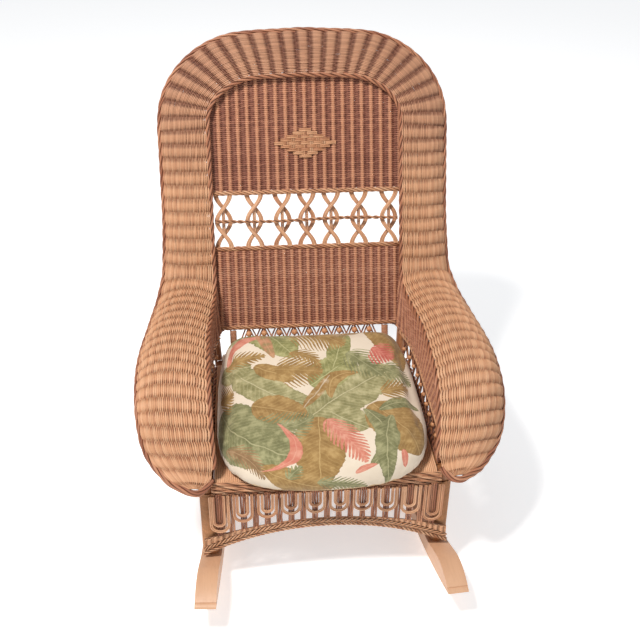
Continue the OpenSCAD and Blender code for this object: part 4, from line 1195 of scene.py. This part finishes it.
def pad_mesh(name, rings):
    k = len(ring_s)
    V = [np.concatenate([[PAD_C[0], PAD_C[1], rings[0][1]]])]
    for e, z in rings:
        q = PAD_C + ring_v * (1 - e / ring_r)[:, None]
        V.extend(np.concatenate([q, (z + rear_lift(q[:, 1], z))[:, None]], 1))
    V.append(np.array([PAD_C[0], PAD_C[1], rings[-1][1] + 1.0 + rear_lift(PAD_C[1], 350.0)]))
    V = np.array(V) / 1000.0
    F = []
    n = len(rings)
    for j in range(k):
        F.append((0, 1 + j, 1 + (j + 1) % k))
        for i in range(n - 1):
            a, c = 1 + i * k, 1 + (i + 1) * k
            F.append((a + j, c + j, c + (j + 1) % k, a + (j + 1) % k))
        F.append((1 + (n - 1) * k + j, len(V) - 1, 1 + (n - 1) * k + (j + 1) % k))
    me = bpy.data.meshes.new(name)
    me.from_pydata(V.tolist(), [], F)
    bm = bmesh.new()
    bm.from_mesh(me)
    bmesh.ops.recalc_face_normals(bm, faces=bm.faces)
    bm.to_mesh(me)
    bm.free()
    return me


def baked(ob):
    """Apply the modifiers of ob to its mesh."""
    dg = bpy.context.evaluated_depsgraph_get()
    me = bpy.data.meshes.new_from_object(ob.evaluated_get(dg), depsgraph=dg)
    ob.modifiers.clear()
    ob.data = me
    return ob


def coords(me):
    a = np.empty(len(me.vertices) * 3, np.float32)
    me.vertices.foreach_get("co", a)
    return a.reshape(-1, 3).astype(float)


pad_rings = [(60, 278.5), (24, 278.5), (13, 279.5), (7, 283.0), (3.5, 292.0), (2.5, 306.0), (6, 322.0), (16, 336.0), (40, 344.0), (94, 349.5), (150, 351.0)]
pad = bpy.data.objects.new("seat_cushion", pad_mesh("seat_cushion", pad_rings))
scene.collection.objects.link(pad)
md = pad.modifiers.new("skin", "REMESH")
md.mode = "VOXEL"
md.voxel_size = 0.006
baked(pad)
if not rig.quick():
    start = coords(pad.data)
    vg = pad.vertex_groups.new(name="pin")
    vg.add([int(i) for i in np.nonzero(start[:, 2] < 0.2805)[0]], 1.0, "REPLACE")
    md = pad.modifiers.new("cloth", "CLOTH")
    cs = md.settings
    cs.quality = 5
    cs.mass = 0.3
    cs.tension_stiffness = cs.compression_stiffness = 12
    cs.shear_stiffness = 6
    cs.bending_stiffness = 1.2
    cs.use_pressure = True
    cs.uniform_pressure_force = 4.0
    cs.vertex_group_mass = "pin"
    cs.effector_weights.gravity = 0.0
    md.collision_settings.use_collision = False
    md.point_cache.frame_start, md.point_cache.frame_end = 1, 20
    for f in range(1, 21):
        scene.frame_set(f)
    baked(pad)
    end = coords(pad.data)
    mv = end - start
    # keep the swelling along the surface normal, capped, and none of the shrinkage
    nrm0 = np.empty(len(start) * 3, np.float32)
    pad.data.vertices.foreach_set("co", start.astype(np.float32).ravel())
    pad.data.update()
    pad.data.vertex_normals.foreach_get("vector", nrm0)
    nrm0 = nrm0.reshape(-1, 3).astype(float)
    along = (mv * nrm0).sum(1)
    end = start + nrm0 * np.clip(along, -0.0015, 0.009)[:, None]
    pad.data.vertices.foreach_set("co", end.astype(np.float32).ravel())
    scene.frame_set(1)
md = pad.modifiers.new("smooth", "SMOOTH")
md.factor = 0.5
md.iterations = 3
md = pad.modifiers.new("fine", "SUBSURF")
md.levels = md.render_levels = 1
baked(pad)
pad.vertex_groups.clear()
# work on the surface: soft hollows on top, gathers where the cover is pulled under, the board let in below
V = coords(pad.data) * 1000.0
v = V[:, :2] - PAD_C
rr = np.maximum(np.linalg.norm(v, axis=1), 1e-6)
ang = np.arctan2(v[:, 1], v[:, 0])
R0 = ring_at(ang)
ins = R0 - rr
dr = v / rr[:, None]
per = ang * 38.0
hol = np.zeros(len(V))
for fx, fy, ph, am in ((0.011, 0.016, 0.3, 1.1), (0.021, -0.013, 1.9, 0.8), (0.034, 0.029, 4.1, 0.45), (-0.017, 0.041, 2.2, 0.4)):
    hol += am * np.sin(V[:, 0] * fx + V[:, 1] * fy + ph)
LF = rear_lift(V[:, 1], np.clip(V[:, 2], 0, 353))
V[:, 2] -= LF
top = np.clip((V[:, 2] - 325) / 18, 0, 1)
V[:, 2] += top * (hol - 0.8)
wall = np.clip((318 - V[:, 2]) / 34, 0, 1) * np.clip((30 - ins) / 12, 0, 1)
gather = 0.9 * np.sin(per) * np.sin(ang * 5 + 0.7) + 0.6 * np.sin(per * 1.7 + 1.1) + 0.35 * np.sin(per * 2.9 + 2.0)
V[:, :2] += dr * (wall * (gather - 0.9))[:, None]
# one or two drag lines from the front corners
for ca, wd, am in ((-2.25, 0.035, 1.6), (-2.05, 0.02, 1.1), (-0.92, 0.03, 1.6), (-1.1, 0.018, 0.9), (-1.5, 0.02, 0.7)):
    g = np.exp(-((ang - ca - (V[:, 2] - 330) * 0.002) / wd) ** 2) * np.clip((352 - V[:, 2]) / 30, 0, 1) * np.clip((60 - ins) / 30, 0, 1)
    V[:, :2] -= dr * (g * am)[:, None]
V[:, 2] += LF
low = V[:, 2] < 287
k = np.clip((ins - 14.5) / 4.0, 0, 1)
V[low, 2] = (V[:, 2] * (1 - k) + 284.0 * k)[low]
V[:, 2] = np.maximum(V[:, 2], 276.3)
V[:, 2] = np.minimum(V[:, 2], 393.0)
pad.data.vertices.foreach_set("co", (V / 1000.0).astype(np.float32).ravel())
pad.data.polygons.foreach_set("use_smooth", np.ones(len(pad.data.polygons), bool))
v = V[:, :2] - PAD_C
rr = np.maximum(np.linalg.norm(v, axis=1), 1e-6)
PP = np.zeros((len(V), 3), np.float32)
PP[:, :2] = V[:, :2] + v / rr[:, None] * (1.2 * np.maximum(0, 346 - (V[:, 2] - LF)) * np.clip((70 - (R0 - rr)) / 30, 0, 1))[:, None]
PP[:, 2] = V[:, 2]
at = pad.data.attributes.new("pp", "FLOAT_VECTOR", "POINT")
at.data.foreach_set("vector", PP.ravel())
pad.data.update()


def leaf_group():
    g = bpy.data.node_groups.new("printed_leaf", "ShaderNodeTree")
    sock = {}
    for nm, kind in (("P", "Vector"), ("Centre", "Vector"), ("Angle", "Float"), ("HalfL", "Float"), ("HalfW", "Float"), ("Bend", "Float"),
                     ("Teeth", "Float"), ("Depth", "Float"), ("Sweep", "Float"), ("Vein", "Float"), ("Mid", "Float"), ("Wob", "Float"),
                     ("Var", "Float"), ("Col", "Color"), ("Lite", "Color"), ("Deep", "Color"), ("Under", "Color")):
        g.interface.new_socket(name=nm, in_out="INPUT", socket_type="NodeSocket" + kind)
    g.interface.new_socket(name="Out", in_out="OUTPUT", socket_type="NodeSocketColor")
    t = Tree(g)
    gi, go = t.n("NodeGroupInput"), t.n("NodeGroupOutput")
    I = gi.outputs
    # each leaf is worked out after the one under it, which keeps the shader's memory small
    dep = t.n("ShaderNodeVectorMath")
    dep.operation = "MULTIPLY_ADD"
    t.link(I["Under"], dep.inputs[0])
    dep.inputs[1].default_value = (1e-5, 1e-5, 0)
    t.link(I["P"], dep.inputs[2])
    dsep = t.n("ShaderNodeSeparateXYZ")
    t.link(dep.outputs[0], dsep.inputs[0])
    dpx = t.math("MULTIPLY", dsep.outputs[0], 1e-7)
    Wob, Var = t.math("ADD", I["Wob"], dpx), t.math("ADD", I["Var"], dpx)
    sub = t.n("ShaderNodeVectorMath")
    sub.operation = "SUBTRACT"
    t.link(dep.outputs[0], sub.inputs[0])
    t.link(I["Centre"], sub.inputs[1])
    rot = t.n("ShaderNodeVectorRotate")
    rot.rotation_type = "Z_AXIS"
    t.link(sub.outputs[0], rot.inputs["Vector"])
    t.put(rot.inputs["Angle"], t.math("MULTIPLY", I["Angle"], -1.0))
    sep = t.n("ShaderNodeSeparateXYZ")
    t.link(rot.outputs[0], sep.inputs[0])
    x, y = sep.outputs[0], sep.outputs[1]
    tt = t.math("DIVIDE", x, I["HalfL"])
    t2 = t.math("MULTIPLY", tt, tt)
    y2 = t.math("SUBTRACT", y, t.math("MULTIPLY", t.math("MULTIPLY", I["Bend"], I["HalfL"]), t.math("SUBTRACT", 0.9, t.math("MULTIPLY", t2, 1.8))))
    prof = t.math("MULTIPLY", t.math("POWER", t.math("MAXIMUM", t.math("SUBTRACT", 1.0, t2), 0.0), 0.62), t.math("SUBTRACT", 1.0, t.math("MULTIPLY", tt, 0.2)))
    lim = t.math("MAXIMUM", t.math("MULTIPLY", I["HalfW"], prof), 0.02)
    ay = t.math("ABSOLUTE", y2)
    q = t.math("ADD", t.math("DIVIDE", ay, lim), t.math("MULTIPLY", Wob, 0.22))
    ss = t.math("DIVIDE", t.math("SUBTRACT", t.math("ADD", x, t.math("MULTIPLY", Wob, 3.0)), t.math("MULTIPLY", ay, I["Sweep"])), I["Teeth"])
    f = t.math("MULTIPLY", t.math("ABSOLUTE", t.math("SUBTRACT", t.math("FRACT", ss), 0.5)), 2.0)
    e1 = t.math("MULTIPLY", t.math("SUBTRACT", 1.0, q), lim)
    e2 = t.math("MULTIPLY", t.math("SUBTRACT", t.math("SUBTRACT", 1.2, f), t.math("MULTIPLY", q, I["Depth"])), t.math("MULTIPLY", I["Teeth"], 0.5))
    e = t.math("MINIMUM", e1, e2)
    mask = t.math("MULTIPLY", t.range(e, -0.3, 0.5, smooth=True), t.range(t.math("ABSOLUTE", tt), 1.0, 0.97))
    c = t.mix(t.range(Var, 0.3, 0.62), I["Deep"], I["Col"])
    c = t.mix(t.math("MULTIPLY", t.range(Var, 0.5, 0.8), 0.75), c, I["Lite"])
    c = t.mix(t.math("MULTIPLY", t.range(f, 0.66, 1.0), t.math("MULTIPLY", I["Vein"], 0.6)), c, I["Lite"])
    c = t.mix(t.math("MULTIPLY", t.range(f, 0.3, 0.0), t.math("MULTIPLY", I["Vein"], 0.35)), c, I["Deep"])
    c = t.mix(t.math("MULTIPLY", t.range(ay, 9.0, 0.0), t.math("MULTIPLY", I["Mid"], 0.45)), c, I["Deep"])
    c = t.mix(t.math("MULTIPLY", t.range(ay, 1.6, 0.7), t.math("MULTIPLY", I["Mid"], 0.75)), c, I["Lite"])
    c = t.mix(t.math("MULTIPLY", t.range(e1, 4.0, 0.0), 0.3), c, I["Deep"])
    t.link(t.mix(mask, I["Under"], c), go.inputs[0])
    return g


CREAM = srgb(228, 213, 192)
INK = {
    "sage": (srgb(168, 160, 114), srgb(206, 196, 156), srgb(122, 118, 76)),
    "sage2": (srgb(162, 158, 104), srgb(198, 192, 142), srgb(116, 116, 68)),
    "deep": (srgb(146, 144, 102), srgb(184, 178, 136), srgb(104, 104, 68)),
    "ochre": (srgb(168, 134, 82), srgb(198, 166, 112), srgb(138, 106, 60)),
    "brown": (srgb(158, 124, 88), srgb(190, 160, 122), srgb(120, 94, 64)),
    "coral": (srgb(212, 142, 118), srgb(228, 174, 152), srgb(196, 112, 94)),
    "red": (srgb(202, 114, 98), srgb(224, 154, 134), srgb(180, 86, 74)),
    "rust": (srgb(196, 132, 100), srgb(208, 164, 128), srgb(126, 130, 84)),
    "tanw": (srgb(176, 138, 84), srgb(236, 226, 206), srgb(140, 108, 62)),
}
LEAVES = (
    ("ban", "sage2", -97, 82, -60, 176, 85, 0), ("ban", "sage", -108, -96, -36, 211, 65, -0.1), ("ban", "sage", 72, -115, 36, 234, 91, 0.05),
    ("ban", "sage", 54, -211, -37, 80, 67, 0), ("ban", "deep", -154, -239, -44, 219, 128, -0.15), ("ban", "ochre", -91, -168, -20, 111, 72, 0),
    ("ban", "ochre", 164, -232, -54, 168, 98, 0), ("ban", "ochre", 176, 49, -70, 162, 79, 0.1), ("ban", "sage", -193, -19, -2, 81, 61, 0),
    ("ban", "sage2", 36, -48, 40, 125, 66, 0), ("ban", "sage2", 56, 21, 72, 113, 41, 0), ("ban", "ochre", -98, -49, -32, 92, 35, 0),
    ("ban", "ochre", 46, -86, 47, 95, 28, 0.35), ("ban", "ochre", -18, -301, -94, 191, 84, 0), ("ban", "ochre", -73, -376, -26, 155, 59, -0.12),
    ("ban", "deep", 107, -262, -92, 156, 40, 0.25), ("ban", "deep", 137, -299, -87, 180, 38, -0.15), ("ban", "deep", 171, -163, 8, 91, 26, 0.2),
    ("ban", "sage", -186, 119, 50, 75, 28, 0), ("ban", "sage", -178, 91, 52, 50, 20, 0),
    ("fro", "ochre", 13, 74, -34, 120, 104, 0.1), ("fro", "ochre", 102, 113, 31, 96, 47, 0), ("fro", "ochre", -41, -45, -8, 90, 81, 0),
    ("fro", "ochre", -22, -8, -38, 71, 35, 0.2), ("fro", "deep", 108, -31, -45, 86, 64, 0), ("fro", "deep", 184, -62, -28, 68, 64, 0),
    ("fro", "ochre", 168, -112, 16, 59, 49, 0), ("fro", "deep", -81, -215, 13, 109, 78, -0.2), ("fro", "ochre", -212, -99, 10, 41, 87, 0),
    ("fro", "ochre", -168, 6, 3, 91, 39, 0), ("fro", "brown", -181, -308, -53, 103, 51, 0.2), ("fro", "deep", -77, -351, 46, 44, 31, 0),
    ("fro", "deep", 35, -397, -9, 114, 37, 0),
    ("pet", "coral", -175, 54, 35, 115, 34, 0.2), ("pet", "rust", -113, 64, -76, 130, 32, 0), ("pet", "coral", -96, -288, -111, 136, 27, 0.5),
    ("pet", "coral", 80, -348, 31, 51, 18, 0.1), ("pet", "coral", 171, -321, -68, 54, 18, 0), ("pet", "tanw", -7, -114, 56, 116, 24, 0),
    ("gin", "red", 153, 2, -35, 55, 75, 0), ("gin", "coral", 44, -266, -60, 142, 60, 0),
)
m, t, bsdf = new_mat("print_fabric")
at = t.n("ShaderNodeAttribute")
at.attribute_name = "pp"
pp = at.outputs["Vector"]
big = t.n("ShaderNodeTexNoise")
big.inputs["Scale"].default_value = 0.03
big.inputs["Detail"].default_value = 4.0
t.link(pp, big.inputs["Vector"])
off = t.n("ShaderNodeVectorMath")
off.operation = "MULTIPLY_ADD"
t.link(big.outputs["Color"], off.inputs[0])
off.inputs[1].default_value = (9.0, 9.0, 0.0)
off.inputs[2].default_value = (-4.5, -4.5, 0.0)
addn = t.n("ShaderNodeVectorMath")
addn.operation = "ADD"
t.link(pp, addn.inputs[0])
t.link(off.outputs[0], addn.inputs[1])
flat = t.n("ShaderNodeVectorMath")
flat.operation = "MULTIPLY"
t.link(addn.outputs[0], flat.inputs[0])
flat.inputs[1].default_value = (1, 1, 0)
wobn = t.noise(pp, 0.16, 3.0)
wob = t.math("SUBTRACT", wobn, 0.5)
var = t.noise(pp, 0.045, 4.0, 0.62)
blot = t.noise(pp, 0.012, 2.0)
under = t.mix(t.range(blot, 0.35, 0.7, 0.0, 0.6), CREAM, srgb(218, 200, 176))
grp = leaf_group()
KIND = {  # tooth spacing, depth, sweep, vein, midrib
    "ban": (11.0, 0.0, 0.7, 0.45, 0.9),
    "fro": (12.5, 0.98, 1.25, 0.0, 0.5),
    "pet": (40.0, 0.0, 0.3, 0.1, 0.5),
    "gin": (12.5, 0.8, 1.3, 0.9, 0.3),
}
for kind, ink, cx, cy, an, L, W, bend in LEAVES:
    nd = t.n("ShaderNodeGroup")
    nd.node_tree = grp
    t.link(flat.outputs[0], nd.inputs["P"])
    nd.inputs["Centre"].default_value = (cx, cy, 0)
    te, de, sw, ve, mi = KIND[kind]
    for k, val in (("Angle", math.radians(an)), ("HalfL", L * {"ban": 0.57, "fro": 0.6, "pet": 0.52, "gin": 0.53}[kind]),
                   ("HalfW", W * {"ban": 0.64, "fro": 0.66, "pet": 0.5, "gin": 0.56}[kind]), ("Bend", bend), ("Teeth", te), ("Depth", de),
                   ("Sweep", sw), ("Vein", ve), ("Mid", mi)):
        nd.inputs[k].default_value = val
    t.link(wob, nd.inputs["Wob"])
    t.link(var, nd.inputs["Var"])
    for k, val in zip(("Col", "Lite", "Deep"), INK[ink]):
        nd.inputs[k].default_value = (*val[:3], 1)
    t.put(nd.inputs["Under"], under)
    under = nd.outputs[0]
# cloth: fine warp and weft with a faint painted shade between the threads, slubs, and painted shade darkening the
# walls towards the bottom
wv = t.n("ShaderNodeTexWave")
wv.wave_type = "BANDS"
wv.bands_direction = "X"
wv.inputs["Scale"].default_value = 0.55
t.link(pp, wv.inputs["Vector"])
wv2 = t.n("ShaderNodeTexWave")
wv2.wave_type = "BANDS"
wv2.bands_direction = "Y"
wv2.inputs["Scale"].default_value = 0.55
t.link(pp, wv2.inputs["Vector"])
thread = t.math("MULTIPLY", t.math("ADD", wv.outputs["Fac"], wv2.outputs["Fac"]), 0.5)
slub = t.noise(pp, 0.9, 2.0)
# faint painted shade between the threads
colr = t.mix(t.range(thread, 0.2, 0.8, 0.05, 0.0), under, srgb(110, 92, 70))
colr = t.mix(t.range(slub, 0.62, 0.72, 0.0, 0.12), colr, srgb(120, 104, 82))
sp = t.n("ShaderNodeSeparateXYZ")
t.link(pp, sp.inputs[0])
# painted shade: the walls darken towards the bottom
colr = t.mix(t.range(sp.outputs[2], 305, 277, 0.0, 0.35), colr, srgb(120, 100, 74))
t.put(bsdf.inputs["Base Color"], colr)
t.put(bsdf.inputs["Roughness"], t.range(slub, 0.3, 0.7, 0.78, 0.9))
bsdf.inputs["Specular IOR Level"].default_value = 0.25
bsdf.inputs["Sheen Weight"].default_value = 0.12
bsdf.inputs["Sheen Roughness"].default_value = 0.5
bmp = t.n("ShaderNodeBump")
bmp.inputs["Strength"].default_value = 0.25
bmp.inputs["Distance"].default_value = 0.0004
t.put(bmp.inputs["Height"], t.math("ADD", thread, t.math("MULTIPLY", slub, 0.6)))
t.link(bmp.outputs[0], bsdf.inputs["Normal"])
pad.data.materials.clear()
pad.data.materials.append(m)
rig.ride(pad, "cushion")
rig.slot(pad, "print_fabric")
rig.replaces(pad, "cushion_foam", "cushion_cover")

# =====================================================================
# Stage, light and camera
# =====================================================================
def plane(name, size, z, mat):
    me = bpy.data.meshes.new(name)
    s = size / 2
    me.from_pydata([(-s, -s, z), (s, -s, z), (s, s, z), (-s, s, z)], [], [(0, 1, 2, 3)])
    ob = bpy.data.objects.new(name, me)
    me.materials.append(mat)
    scene.collection.objects.link(ob)
    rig.stage(ob)
    return ob


m, t, bsdf = new_mat("floor_pale")
bsdf.inputs["Base Color"].default_value = (0.88, 0.88, 0.88, 1)
bsdf.inputs["Roughness"].default_value = 0.9
bsdf.inputs["Emission Color"].default_value = (1, 1, 1, 1)
bsdf.inputs["Emission Strength"].default_value = 0.5
plane("floor", 14.0, -0.0005, m)

world = bpy.data.worlds.new("studio")
scene.world = world
world.use_nodes = True
bg = world.node_tree.nodes.get("Background") or world.node_tree.nodes.new("ShaderNodeBackground")
bg.inputs[0].default_value = (0.93, 0.96, 1.0, 1)
bg.inputs[1].default_value = 0.42
if not world.node_tree.nodes.get("World Output"):
    wo = world.node_tree.nodes.new("ShaderNodeOutputWorld")
    world.node_tree.links.new(bg.outputs[0], wo.inputs[0])


def area(name, loc, target, size, power, color=(1, 1, 1)):
    li = bpy.data.lights.new(name, "AREA")
    li.shape = "SQUARE"
    li.size = size
    li.energy = power
    li.color = color
    ob = bpy.data.objects.new(name, li)
    scene.collection.objects.link(ob)
    ob.location = loc
    d = Vector(target) - Vector(loc)
    ob.rotation_euler = d.to_track_quat("-Z", "Y").to_euler()
    return ob


area("key", (-1.25, -1.2, 3.6), (0, 0, 0.45), 0.5, 122, (1.0, 0.97, 0.94))
area("fill", (2.6, -2.2, 1.8), (0, 0, 0.5), 2.4, 9, (0.95, 0.97, 1.0))
area("back", (0.6, 3.0, 2.6), (0, 0, 0.6), 2.0, 10, (1, 1, 1))

scene.view_settings.view_transform = "Standard"
scene.view_settings.look = "None"

cam = bpy.data.cameras.new("camera")
cam.sensor_width = 36.0
cam.lens = 942.8 / 640.0 * 36.0
cam.clip_end = 50
cob = bpy.data.objects.new("camera", cam)
scene.collection.objects.link(cob)
pi_, ya, ro = math.radians(32.551), math.radians(5.647), math.radians(0.789)
fwd = np.array([math.sin(ya) * math.cos(pi_), math.cos(ya) * math.cos(pi_), -math.sin(pi_)])
rgt = np.array([math.cos(ya), -math.sin(ya), 0.0])
upv = np.cross(rgt, fwd)
r2 = math.cos(ro) * rgt + math.sin(ro) * upv
u2 = -math.sin(ro) * rgt + math.cos(ro) * upv
from mathutils import Matrix
mat4 = Matrix(((r2[0], u2[0], -fwd[0], -0.16512), (r2[1], u2[1], -fwd[1], -1.75809), (r2[2], u2[2], -fwd[2], 1.60485), (0, 0, 0, 1)))
cob.matrix_world = mat4
scene.camera = cob


def plain(bx):
    return [[float(v) for v in c] for c in bx]


try:
    json.dump({"cad": plain(CAD_BOX), "visual": plain(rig.bounds())}, open("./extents.json", "w"))
except OSError:
    pass
